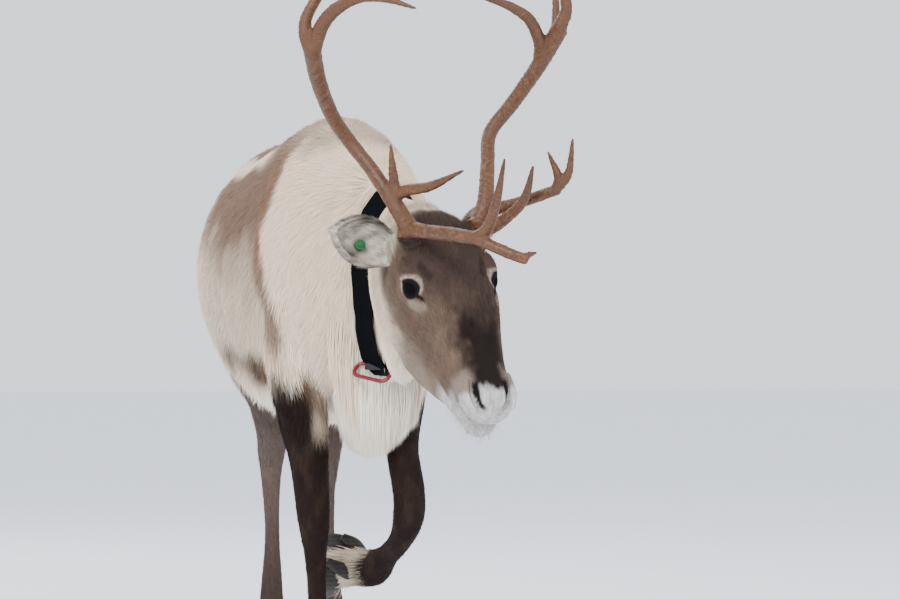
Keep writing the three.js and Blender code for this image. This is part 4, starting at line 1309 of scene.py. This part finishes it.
def grain_group():
    """Fine grain over a surface: a colour lighter and darker by it, and a height."""
    name = "surface grain"
    if name in bpy.data.node_groups:
        return bpy.data.node_groups[name]
    group, start, end = new_group(
        name,
        [("Vector", "NodeSocketVector", None), ("Colour", "NodeSocketColor", (0.5, 0.5, 0.5, 1)),
         ("Size", "NodeSocketFloat", 40.0), ("Contrast", "NodeSocketFloat", 0.3)],
        [("Colour", "NodeSocketColor"), ("Height", "NodeSocketFloat")],
    )
    fine = noise(group, start.outputs["Vector"], start.outputs["Size"], 6.0, 0.6)
    low = math_node(group, "SUBTRACT", 1.0, start.outputs["Contrast"])
    tone = math_node(group, "MULTIPLY", fine, start.outputs["Contrast"])
    tone = math_node(group, "ADD", math_node(group, "MULTIPLY", tone, 2.0), low)
    shade = node(group, "ShaderNodeVectorMath", {0: start.outputs["Colour"], 1: tone}, operation="MULTIPLY")
    group.links.new(shade.outputs[0], end.inputs["Colour"])
    group.links.new(fine, end.inputs["Height"])
    return group


def object_place(tree):
    return node(tree, "ShaderNodeTexCoord").outputs["Object"]


def grained(tree, colour, size, contrast):
    """The surface grain over a colour, as its colour and height."""
    colour = colour if isinstance(colour, bpy.types.NodeSocket) else (*colour, 1)
    inputs = {"Vector": object_place(tree), "Colour": colour, "Size": size, "Contrast": contrast}
    made = node(tree, "ShaderNodeGroup", inputs, node_tree=grain_group())
    return made.outputs["Colour"], made.outputs["Height"]


def coat_material(name, root_shade):
    """Hair: each tuft darker at its root as painted shade deep in the coat, with finer strands drawn along
    it.
    """
    material, tree, shader = new_material(name, 0.8, Specular_IOR_Level=0.12)
    split = node(tree, "ShaderNodeSeparateXYZ", {0: attribute(tree, "strand")})
    stretch = node(tree, "ShaderNodeCombineXYZ", {
        "X": math_node(tree, "MULTIPLY", split.outputs["X"], 3.2),
        "Y": math_node(tree, "MULTIPLY", split.outputs["Y"], 0.9),
        "Z": split.outputs["Z"],
    })
    hairs = noise(tree, stretch.outputs[0], 2.4, 3.0)
    # Painted shade: each tuft darkens towards its root
    depth = node(tree, "ShaderNodeMapRange", {
        "Value": split.outputs["Y"], "From Min": 0.0, "From Max": 0.75, "To Min": root_shade, "To Max": 1.04,
    })
    streaks = math_node(tree, "ADD", math_node(tree, "MULTIPLY", hairs, 0.4), 0.8)
    tone = math_node(tree, "MULTIPLY", depth.outputs["Result"], streaks)
    inputs = {0: attribute(tree, "coat", "Color"), 1: tone}
    colour = node(tree, "ShaderNodeVectorMath", inputs, operation="MULTIPLY")
    tree.links.new(colour.outputs[0], shader.inputs["Base Color"])
    bump(tree, shader, hairs, 0.5, 0.0006)
    return material


def skin_material():
    material, tree, shader = new_material("skin and underfur", 0.85, Specular_IOR_Level=0.12)
    colour, height = grained(tree, attribute(tree, "coat", "Color"), 420.0, 0.35)
    tree.links.new(colour, shader.inputs["Base Color"])
    bump(tree, shader, height, 0.6, 0.0012)
    return material


def antler_material():
    """Warm brown bone, grained along its length, darker in the grooves and at the tips."""
    material, tree, shader = new_material("antler bone", 0.45, Specular_IOR_Level=0.45)
    grain = noise(tree, attribute(tree, "flow"), 1.0, 4.0)
    patch = noise(tree, object_place(tree), 14.0, 3.0)
    shades = node(tree, "ShaderNodeValToRGB", {"Fac": grain})
    stops = shades.color_ramp.elements
    stops.new(0.5)
    for stop, position, colour in zip(stops, (0.22, 0.5, 0.80), (BONE_DARK, BONE_BROWN, BONE_PALE)):
        stop.position = position
        stop.color = (*colour, 1)
    blotches = math_node(tree, "MULTIPLY", patch, 0.45)
    blotched = mixed(tree, blotches, shades.outputs["Color"], BONE_BLOTCH)
    tipped = mixed(tree, attribute(tree, "tip", "Fac"), blotched, BONE_TIP)
    tree.links.new(tipped, shader.inputs["Base Color"])
    roughness = math_node(tree, "ADD", math_node(tree, "MULTIPLY", grain, 0.3), 0.32)
    tree.links.new(roughness, shader.inputs["Roughness"])
    bump(tree, shader, grain, 0.45, 0.001)
    return material


def horn_material():
    """Dark hoof horn with growth rings."""
    material, tree, shader = new_material("hoof horn", 0.45, Specular_IOR_Level=0.25)
    rings = node(tree, "ShaderNodeTexWave", {
        "Vector": object_place(tree), "Scale": 46.0, "Distortion": 2.5, "Detail": 2.0, "Detail Scale": 1.5,
    }, bands_direction="Z").outputs["Fac"]
    base, grain = grained(tree, HORN_DARK, 160.0, 0.35)
    colour = mixed(tree, math_node(tree, "MULTIPLY", rings, 0.35), base, HORN_RING)
    tree.links.new(colour, shader.inputs["Base Color"])
    height = math_node(tree, "ADD", math_node(tree, "MULTIPLY", rings, 0.5), grain)
    bump(tree, shader, height, 0.35, 0.0012)
    return material


def eye_material():
    """A dark wet eye with a brown iris round a wide level pupil, coloured blue-grey as a painted reflection
    of the sky.
    """
    material, tree, shader = new_material(
        "wet eye", 0.1, Specular_IOR_Level=0.9, Coat_Weight=1.0, Coat_Roughness=0.04)
    gaze = attribute(tree, "gaze")

    def reach(stretch, start, end):
        """0 to 1 over a stretch of the way out from the middle of the gaze, which is scaled first."""
        flat = node(tree, "ShaderNodeVectorMath", {0: gaze, 1: stretch}, operation="MULTIPLY")
        far = node(tree, "ShaderNodeVectorMath", {0: flat.outputs[0]}, operation="LENGTH").outputs["Value"]
        inputs = {"Value": far, "From Min": start, "From Max": end}
        return node(tree, "ShaderNodeMapRange", inputs).outputs["Result"]

    brown = mixed(tree, noise(tree, gaze, 9.0, 4.0), IRIS_DARK, IRIS_BROWN)
    # The pupil is coloured blue-grey: a painted reflection of the sky
    inner = mixed(tree, reach((0.62, 1, 0), 0.24, 0.31), PUPIL_SKY_REFLECTION, brown)
    colour = mixed(tree, reach((1, 1, 0), 0.66, 0.74), inner, EYE_EDGE)
    tree.links.new(colour, shader.inputs["Base Color"])
    return material


def webbing_material():
    """Woven black webbing: ribs across the strap, crossed by finer threads, with a painted highlight on the
    raised weave.
    """
    material, tree, shader = new_material("woven webbing", 0.8, Specular_IOR_Level=0.04)
    split = node(tree, "ShaderNodeSeparateXYZ", {0: attribute(tree, "weave")})
    waves = []
    for output, pitch in (("X", RIB_PITCH), ("Y", THREAD_PITCH)):
        turns = math_node(tree, "MULTIPLY", split.outputs[output], 2 * math.pi / pitch)
        waves.append(math_node(tree, "SINE", turns, 0.5))
    cloth = math_node(tree, "MULTIPLY", *waves)
    base, _ = grained(tree, WEB_BLACK, 60.0, 0.4)
    # The raised weave is painted lighter: a painted highlight over the threads' own colour
    raised = math_node(tree, "ADD", math_node(tree, "MULTIPLY", cloth, 0.12), 0.5)
    lit = mixed(tree, raised, base, WEB_THREAD_AND_HIGHLIGHT)
    tree.links.new(lit, shader.inputs["Base Color"])
    bump(tree, shader, cloth, 0.5, 0.0005)
    return material


def plastic_material(name, colour, roughness, wear):
    """Grained plastic with pale scuffs."""
    material, tree, shader = new_material(name, roughness)
    base, height = grained(tree, colour, 240.0, 0.25)
    fine = noise(tree, object_place(tree), 900.0, 2.0)
    inputs = {"Value": fine, "From Min": 0.62, "From Max": 0.75, "To Max": wear}
    scuffs = node(tree, "ShaderNodeMapRange", inputs)
    worn = mixed(tree, scuffs.outputs["Result"], base, WORN_PLASTIC)
    tree.links.new(worn, shader.inputs["Base Color"])
    bump(tree, shader, height, 0.2, 0.0006)
    return material


def floor_material(colour):
    material, tree, shader = new_material("pale floor", 0.75)
    base, _ = grained(tree, colour, 3.0, 0.03)
    tree.links.new(base, shader.inputs["Base Color"])
    return material


class REINDEER_PG_settings(bpy.types.PropertyGroup):
    coat_amount: bpy.props.FloatProperty(
        name="Coat density", description="Share of the full number of tufts",
        default=1.0, min=0.05, max=1.0, subtype="FACTOR",
    )
    floor_colour: bpy.props.FloatVectorProperty(
        name="Floor", description="Colour of the studio floor",
        default=(0.90, 0.93, 0.98), size=3, subtype="COLOR", min=0.0, max=1.0,
    )


def settings():
    return bpy.context.scene.reindeer


FLESH_NODES = [
    "head", "neck", "torso", "tail", "ear_right", "ear_left",
    *[f"leg_{name}_{part}" for name in LEGS for part in ("upper", "lower")],
]


class REINDEER_OT_skin(bpy.types.Operator):
    """One skin over head, neck, trunk, tail and legs"""

    bl_idname = "reindeer.skin"
    bl_label = "Skin"

    def execute(self, context):
        skin = combined(body_skin(), head_skin(), "UNION")
        skin.name = "skin"
        coat_fields(skin)
        bake_map(skin)
        shade_smooth(skin)
        finished(skin, skin_material(), "body_coat", FLESH_NODES)
        return {"FINISHED"}


def coat_pieces(of, middle):
    """Each piece of the coat: its name, where it grows, its slot and its full number of tufts."""
    right = middle[:, 0] < 0
    fore = middle[:, 1] < 330
    head_right = to_head(middle)[:, 0] < 0
    return [
        ("coat_flank_right_front", of("trunk") & right & fore, "body_coat", 44000),
        ("coat_flank_left_front", of("trunk") & ~right & fore, "body_coat", 44000),
        ("coat_flank_right_rear", of("trunk") & right & ~fore, "body_coat", 36000),
        ("coat_flank_left_rear", of("trunk") & ~right & ~fore, "body_coat", 36000),
        ("coat_neck", of("neck", "mane", "tail"), "body_coat", 46000),
        ("coat_face_right", of("skull", "jaw", "ear_right") & head_right, "face_coat", 46000),
        ("coat_face_left", of("skull", "jaw", "ear_left") & ~head_right, "face_coat", 34000),
        ("coat_forelegs", of("front_right", "front_left"), "leg_coat", 22000),
        ("coat_hind_legs", of("hind_right", "hind_left"), "leg_coat", 22000),
    ]


MANE_STRANDS, WHISKERS = 17500, 420
SPECKLE = {"body_coat": 0.06, "face_coat": 0.17, "leg_coat": 0.16}


class REINDEER_OT_coat(bpy.types.Operator):
    """Winter coat of tufts, in pieces by place, with the throat mane and the whiskers"""

    bl_idname = "reindeer.coat"
    bl_label = "Coat"

    def execute(self, context):
        skin = Skin(bpy.data.objects["skin"].data)
        winter = coat_material("winter hair", 0.88)
        short = coat_material("short hair", 0.86)
        part = skin.part[skin.tri[:, 0]]
        middle = unplaced(skin.places[skin.tri].mean(1))

        def of(*names):
            return np.isin(part, [PART_NAMES.index(name) for name in names])

        amount = settings().coat_amount * 1.0
        for number, (name, keep, slot, count) in enumerate(coat_pieces(of, middle)):
            random = np.random.default_rng(100 + number)
            material = winter if slot == "body_coat" else short
            coat_piece(name, skin, keep, random, int(count * amount), material, slot, SPECKLE[slot])
        low = ramp(middle[:, 2], 640, 540) * (middle[:, 2] > 455)
        throat = of("neck", "mane") * low * (middle[:, 1] < 25)
        throat *= skin.normals[skin.tri[:, 0], 2] < 0.5
        throat *= 1 - (middle[:, 1] < -96) * (middle[:, 2] > 516)
        mane_piece("coat_mane", skin, throat, np.random.default_rng(120), int(MANE_STRANDS * amount), winter)
        h = to_head(middle)
        chin = of("skull", "jaw") & (h[:, 1] < -252) & (h[:, 2] < -62)
        whisker_piece("whiskers", skin, chin, np.random.default_rng(121), int(WHISKERS * amount), short)
        return {"FINISHED"}


class REINDEER_OT_eyes(bpy.types.Operator):
    """Wet eyes with a bulging cornea"""

    bl_idname = "reindeer.eyes"
    bl_label = "Eyes"

    def execute(self, context):
        material = eye_material()
        for name, side in (("right", RIGHT), ("left", LEFT)):
            bm = bmesh.new()
            bmesh.ops.create_uvsphere(bm, u_segments=64, v_segments=48, radius=EYE_RADIUS * MM)
            local = np.array([v.co for v in bm.verts])
            outward = local[:, 2] / (EYE_RADIUS * MM)
            swell = 1 + 0.05 * ramp(outward, 0.72, 0.9)
            along, upward, out = eye_frame(side)
            turn = HEAD_TURN @ np.column_stack([along, upward, out])
            centre = placed(from_head(mirrored(EYE_PLACE, side)))
            for vert, place in zip(bm.verts, (local * swell[:, None]) @ turn.T + centre):
                vert.co = place
            bmesh.ops.recalc_face_normals(bm, faces=bm.faces)
            eye = new_object(f"eyeball_{name}", bm)
            store(eye.data, "gaze", local / (EYE_RADIUS * MM), "FLOAT_VECTOR")
            shade_smooth(eye)
            finished(eye, material, "eye", [f"eye_{name}"])
        return {"FINISHED"}


class REINDEER_OT_antlers(bpy.types.Operator):
    """Branched antlers with ridged bone and a burr at the root"""

    bl_idname = "reindeer.antlers"
    bl_label = "Antlers"

    def execute(self, context):
        material = antler_material()
        for name, branches in ANTLERS.items():
            bm = bmesh.new()
            guides, tips, ways = [], [], []
            for number, rows in enumerate(branches):
                caps = (10, 6) if number == 0 else (3, 3)
                places, ahead = rounded_body(branch_rows(rows), 20, 8, None, caps)
                add_body(bm, placed(from_head(places)))
                share = np.linspace(0, 1, places.shape[0])[:, None] * np.ones(places.shape[1])
                ends = rows[-1][3] < 6
                guides.append(from_head(places.reshape(-1, 3)))
                tips.append((ramp(share, 0.55, 1.0) * ends).ravel())
                ways.append(ahead.reshape(-1, 3) @ HEAD_TURN.T)
            add_burr(bm, branches[0])
            antler = smoothed(remeshed(f"antler_{name}", bm, ANTLER_VOXEL), 6)
            dress_antler(antler, np.concatenate(guides), np.concatenate(tips), np.concatenate(ways))
            bake_map(antler)
            shade_smooth(antler)
            nodes = [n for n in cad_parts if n.startswith(f"antler_{name}")]
            finished(antler, material, "antler", nodes)
        return {"FINISHED"}


def add_burr(bm, beam):
    """A knobbly ring where the antler leaves its stump."""
    start, second = np.array(beam[0][:3], float), np.array(beam[1][:3], float)
    ahead = unit(second - start)
    side = unit(np.cross(ahead, UP))
    other = np.cross(ahead, side)
    random = np.random.default_rng(17)
    for k in range(18):
        angle = 2 * np.pi * k / 18
        out = side * np.cos(angle) + other * np.sin(angle)
        centre = start + ahead * 3 + out * (beam[0][3] + 0.5)
        size = random.uniform(3.2, 4.6)
        add_ball(bm, placed(from_head(centre)), [size * MM] * 3, around=10)


def dress_antler(antler, guides, tips, ways):
    """Ridges along the bone, and the fields its material reads: how near the tip, and the grain's flow."""
    mesh = antler.data
    p = unplaced(vertex_places(mesh))
    nearest = nearest_guides(p, guides)
    edges = mesh_edges(mesh)
    tip = evened(tips[nearest][:, None], edges, 6)[:, 0]
    way = unit(evened(ways[nearest], edges, 10))
    along = np.sum(p * way, 1)
    flow = p / 6.0 - way * (along / 6.0 * 0.86)[:, None]
    ridges = mottle(flow * 6.0, 9.0, 61, 2)
    pearls = mottle(p, 7.0, 62, 2) * ramp(np.linalg.norm(to_head(p) - (0, 0, 20), axis=1), 130, 70)
    height = (0.55 * ridges + 0.6 * pearls) * (1 - tip)
    set_places(mesh, placed(p) + vertex_normals(mesh) * (height * MM)[:, None])
    store(mesh, "tip", tip * 0.55, "FLOAT")
    store(mesh, "flow", flow, "FLOAT_VECTOR")


class REINDEER_OT_hooves(bpy.types.Operator):
    """Broad cloven hooves and dew claws"""

    bl_idname = "reindeer.hooves"
    bl_label = "Hooves"

    def execute(self, context):
        material = horn_material()
        for name in LEGS:
            matrix = Matrix(foot_matrix(name).tolist())
            for side_name, side in (("right", RIGHT), ("left", LEFT)):
                horn = bmesh.new()
                rows = [(side * x, *rest) for x, *rest in CLAW]
                add_body(horn, rounded_body(rows, 32, 8, ACROSS, (8, 12))[0])
                geometry = [*horn.verts, *horn.edges, *horn.faces]
                cut = bmesh.ops.bisect_plane(horn, geom=geometry, plane_co=(0, 0, 0), plane_no=(0, 0, -1),
                                             clear_outer=True)
                rim = [e for e in cut["geom_cut"] if isinstance(e, bmesh.types.BMEdge)]
                bmesh.ops.holes_fill(horn, edges=rim, sides=0)
                place_horn(horn, matrix, f"claw_{name}_{side_name}", material, f"hoof_{name}_{side_name}")
                spur = bmesh.new()
                rows = [(side * x, *rest) for x, *rest in DEW_CLAW]
                add_body(spur, rounded_body(rows, 20, 8, ACROSS, (2, 2))[0])
                place_horn(spur, matrix, f"dew_{name}_{side_name}", material, f"dewclaw_{name}_{side_name}")
        return {"FINISHED"}


def place_horn(bm, matrix, name, material, cad_node):
    for vert in bm.verts:
        vert.co = placed(matrix @ vert.co)
    bmesh.ops.recalc_face_normals(bm, faces=bm.faces)
    piece = new_object(name, bm)
    shade_smooth(piece)
    finished(piece, material, "horn", [cad_node])


def strap_reach(turn, share):
    """How far the inner side of the collar's ring lies from its middle, by the angle round it."""
    ring = bpy.data.objects["collar_strap"]
    tree = BVHTree.FromObject(ring, bpy.context.evaluated_depsgraph_get())
    back = ring.matrix_world.inverted()
    ahead = unit(STRAP_FRONT - STRAP_REAR)
    across = np.cross(ahead, UP)
    centre = back @ Vector(placed(strap_middle(0.04 + 0.92 * share)))
    reach = []
    for angle in turn:
        way = back.to_3x3() @ Vector(across * math.cos(angle) + UP * math.sin(angle))
        hit = tree.ray_cast(centre, way)
        reach.append(hit[3] / MM if hit[0] else np.nan)
    reach = np.array(reach)
    missed = np.isnan(reach)
    reach[missed] = np.interp(turn[missed], turn[~missed], reach[~missed], period=2 * np.pi)
    return reach


def strap_middle(share):
    return STRAP_REAR + (STRAP_FRONT - STRAP_REAR) * share


def strap_cover(p):
    """1 in the band of the neck that the collar presses down, 0 away from it."""
    ahead = STRAP_FRONT - STRAP_REAR
    width = np.linalg.norm(ahead)
    along = (p - STRAP_REAR) @ ahead / width
    return ramp(along, -9, 0) * ramp(along, width + 9, width) * ramp(p[:, 2], 480, 500)


def strap_ring(turns, share):
    """Places round the strap at a share of its width, standing off under the throat."""
    across = np.cross(unit(STRAP_FRONT - STRAP_REAR), UP)
    bulge = STRAP_BULGE * np.exp(-((np.degrees(turns) - BULGE_TURN) / BULGE_SPREAD) ** 2)
    reach = strap_reach(turns, share) + 0.3 + bulge
    out = across * np.cos(turns)[:, None] + UP * np.sin(turns)[:, None]
    return strap_middle(share) + out * reach[:, None]


class REINDEER_OT_collar(bpy.types.Operator):
    """Woven strap round the neck, with its clip and keeper"""

    bl_idname = "reindeer.collar"
    bl_label = "Collar"

    def execute(self, context):
        turns = np.linspace(0, 2 * np.pi, STRAP_STEPS)
        widths = np.linspace(0, 1, 9)
        grid = np.array([strap_ring(turns, share) for share in widths])
        bm = bmesh.new()
        bmesh.ops.create_grid(bm, x_segments=len(turns) - 1, y_segments=len(widths) - 1, size=1)
        weave = []
        for vert in bm.verts:
            i = round((vert.co.x + 1) / 2 * (len(turns) - 1))
            k = round((vert.co.y + 1) / 2 * (len(widths) - 1))
            weave.append((i / (len(turns) - 1) * STRAP_LENGTH, widths[k] * STRAP_WIDTH, 0))
            vert.co = placed(grid[k, i])
        strap = new_object("strap", bm)
        store(strap.data, "weave", np.array(weave), "FLOAT_VECTOR")
        with_modifier(strap, "SOLIDIFY", thickness=STRAP_THICK * MM, offset=-1.0)
        fix_outward(strap)
        with_modifier(strap, "BEVEL", width=0.0008, segments=2)
        shade_smooth(strap)
        finished(strap, webbing_material(), "strap", ["collar_strap"])
        ring_clip()
        strap_keeper()
        return {"FINISHED"}


def fix_outward(obj):
    bm = bmesh.new()
    bm.from_mesh(obj.data)
    bmesh.ops.remove_doubles(bm, verts=bm.verts, dist=1e-5)
    bmesh.ops.recalc_face_normals(bm, faces=bm.faces)
    bm.to_mesh(obj.data)
    bm.free()


def rounded_loop(width, height, corner, steps=8):
    """Places round a rounded rectangle."""
    places = []
    for quarter, (sx, sy) in enumerate(((1, 1), (-1, 1), (-1, -1), (1, -1))):
        for k in range(steps + 1):
            turn = math.radians(90 * quarter + 90 * k / steps)
            places.append((sx * (width / 2 - corner) + corner * math.cos(turn),
                           sy * (height / 2 - corner) + corner * math.sin(turn), 0))
    return np.array(places)


def fitting_frame(along, upward):
    ahead = unit(along)
    side = unit(np.cross(upward, ahead))
    return np.column_stack([ahead, side, np.cross(ahead, side)])


def ring_clip():
    """A red plastic ring clip."""
    turn = fitting_frame(CLIP_ALONG, CLIP_UP)
    loop = rounded_loop(*CLIP_SIZE)
    count = len(loop)
    wide, high = CLIP_BAR
    angles = np.linspace(0, 2 * np.pi, 13)
    ring = []
    for i in range(count):
        way = unit(loop[(i + 1) % count] - loop[i - 1])
        out = np.cross(way, UP)
        ring.append(loop[i] + out * np.cos(angles)[:, None] * wide + UP * np.sin(angles)[:, None] * high)
    ring.append(ring[0])
    bm = bmesh.new()
    add_body(bm, placed(np.array(ring) @ turn.T + CLIP_PLACE))
    clip = new_object("clip", bm)
    shade_smooth(clip)
    finished(clip, plastic_material("red plastic", CLIP_RED, 0.32, 0.25), "clip", ["collar_clip"])


def soften_rims(bm, offset, level):
    """Rounds the level edges of a piece."""
    rims = [e for e in bm.edges if abs(e.verts[0].co.z - e.verts[1].co.z) < level]
    bmesh.ops.bevel(bm, geom=rims, offset=offset, segments=3, profile=0.5, affect="EDGES", material=-1)


def strap_keeper():
    """The black keeper above the clip."""
    bm = bmesh.new()
    turn = fitting_frame(CLIP_ALONG * (1, 1, 0), UP)
    low = KEEPER_PLACE - (0, 0, KEEPER_DROP)
    outline = [bm.verts.new(placed(place @ turn.T + low)) for place in rounded_loop(*KEEPER_SIZE, 5)]
    base = bm.faces.new(outline)
    top = bmesh.ops.extrude_face_region(bm, geom=[base])["geom"]
    raised = [v for v in top if isinstance(v, bmesh.types.BMVert)]
    bmesh.ops.translate(bm, vec=(0, 0, KEEPER_TALL * MM), verts=raised)
    bmesh.ops.recalc_face_normals(bm, faces=bm.faces)
    soften_rims(bm, 0.0016, 1e-6)
    keeper = new_object("keeper", bm)
    shade_smooth(keeper)
    finished(keeper, plastic_material("black plastic", KEEPER_BLACK, 0.5, 0.1), "strap", ["collar_keeper"])


class REINDEER_OT_ear_tag(bpy.types.Operator):
    """Round button tag in the right ear"""

    bl_idname = "reindeer.ear_tag"
    bl_label = "Ear tag"

    def execute(self, context):
        facing = unit(EARS["right"][2])
        side = unit(np.cross(facing, UP))
        turn = HEAD_TURN @ np.column_stack([side, np.cross(facing, side), facing])
        bm = bmesh.new()
        for radius, low, high in TAG_STEPS:
            made = bmesh.ops.create_cone(bm, cap_ends=True, segments=40, radius1=radius * MM,
                                         radius2=radius * MM, depth=(high - low) * MM)
            bmesh.ops.translate(bm, vec=(0, 0, (high + low) / 2 * MM), verts=made["verts"])
        soften_rims(bm, 0.0008, 1e-7)
        centre = placed(from_head(EAR_TAG_PLACE))
        for vert in bm.verts:
            vert.co = Vector(turn @ np.array(vert.co) + centre)
        bmesh.ops.recalc_face_normals(bm, faces=bm.faces)
        tag = new_object("button_tag", bm)
        shade_smooth(tag)
        finished(tag, plastic_material("green plastic", TAG_GREEN, 0.5, 0.2), "tag", ["ear_tag"])
        return {"FINISHED"}


class REINDEER_OT_stage(bpy.types.Operator):
    """Pale floor, soft studio light and the camera"""

    bl_idname = "reindeer.stage"
    bl_label = "Stage"

    def execute(self, context):
        bm = bmesh.new()
        bmesh.ops.create_grid(bm, x_segments=4, y_segments=4, size=FLOOR_REACH)
        floor = new_object("floor", bm)
        floor.data.materials.append(floor_material(settings().floor_colour))
        world = bpy.data.worlds.new("studio")
        world.use_nodes = True
        sky = world.node_tree.nodes["Background"]
        sky.inputs["Color"].default_value = SKY_COLOUR
        sky.inputs["Strength"].default_value = SKY_STRENGTH
        bpy.context.scene.world = world
        for name, place, power, size in LIGHTS:
            light = bpy.data.lights.new(name, "AREA")
            light.energy, light.size = power, size
            lamp = bpy.data.objects.new(name, light)
            lamp.location = place
            lamp.rotation_euler = (LIT_PLACE - Vector(place)).to_track_quat("-Z", "Y").to_euler()
            bpy.context.scene.collection.objects.link(lamp)
        data = bpy.data.cameras.new("camera")
        data.lens, data.sensor_width = CAMERA_LENS, CAMERA_SENSOR
        data.clip_end = 200
        camera = bpy.data.objects.new("camera", data)
        camera.location = placed(CAMERA_PLACE)
        camera.rotation_euler = Vector(CAMERA_AHEAD).to_track_quat("-Z", "Y").to_euler()
        bpy.context.scene.collection.objects.link(camera)
        bpy.context.scene.camera = camera
        return {"FINISHED"}


OPERATORS = (
    REINDEER_OT_skin, REINDEER_OT_coat, REINDEER_OT_eyes, REINDEER_OT_antlers, REINDEER_OT_hooves,
    REINDEER_OT_collar, REINDEER_OT_ear_tag, REINDEER_OT_stage,
)


class REINDEER_PT_panel(bpy.types.Panel):
    """Lists the pieces of the reindeer"""

    bl_idname = "REINDEER_PT_panel"
    bl_label = "Reindeer"
    bl_space_type = "VIEW_3D"
    bl_region_type = "UI"
    bl_category = "Reindeer"

    def draw(self, context):
        values = context.scene.reindeer
        for key in ("coat_amount", "floor_colour"):
            self.layout.prop(values, key)
        for operator in OPERATORS:
            self.layout.operator(operator.bl_idname)


CLASSES = (REINDEER_PG_settings, *OPERATORS, REINDEER_PT_panel)


def register():
    for cls in CLASSES:
        bpy.utils.register_class(cls)
    bpy.types.Scene.reindeer = bpy.props.PointerProperty(type=REINDEER_PG_settings)


def unregister():
    del bpy.types.Scene.reindeer
    for cls in reversed(CLASSES):
        bpy.utils.unregister_class(cls)


def main():
    register()
    for operator in OPERATORS:
        group, action = operator.bl_idname.split(".")
        getattr(getattr(bpy.ops, group), action)()


if __name__ == "__main__":
    main()
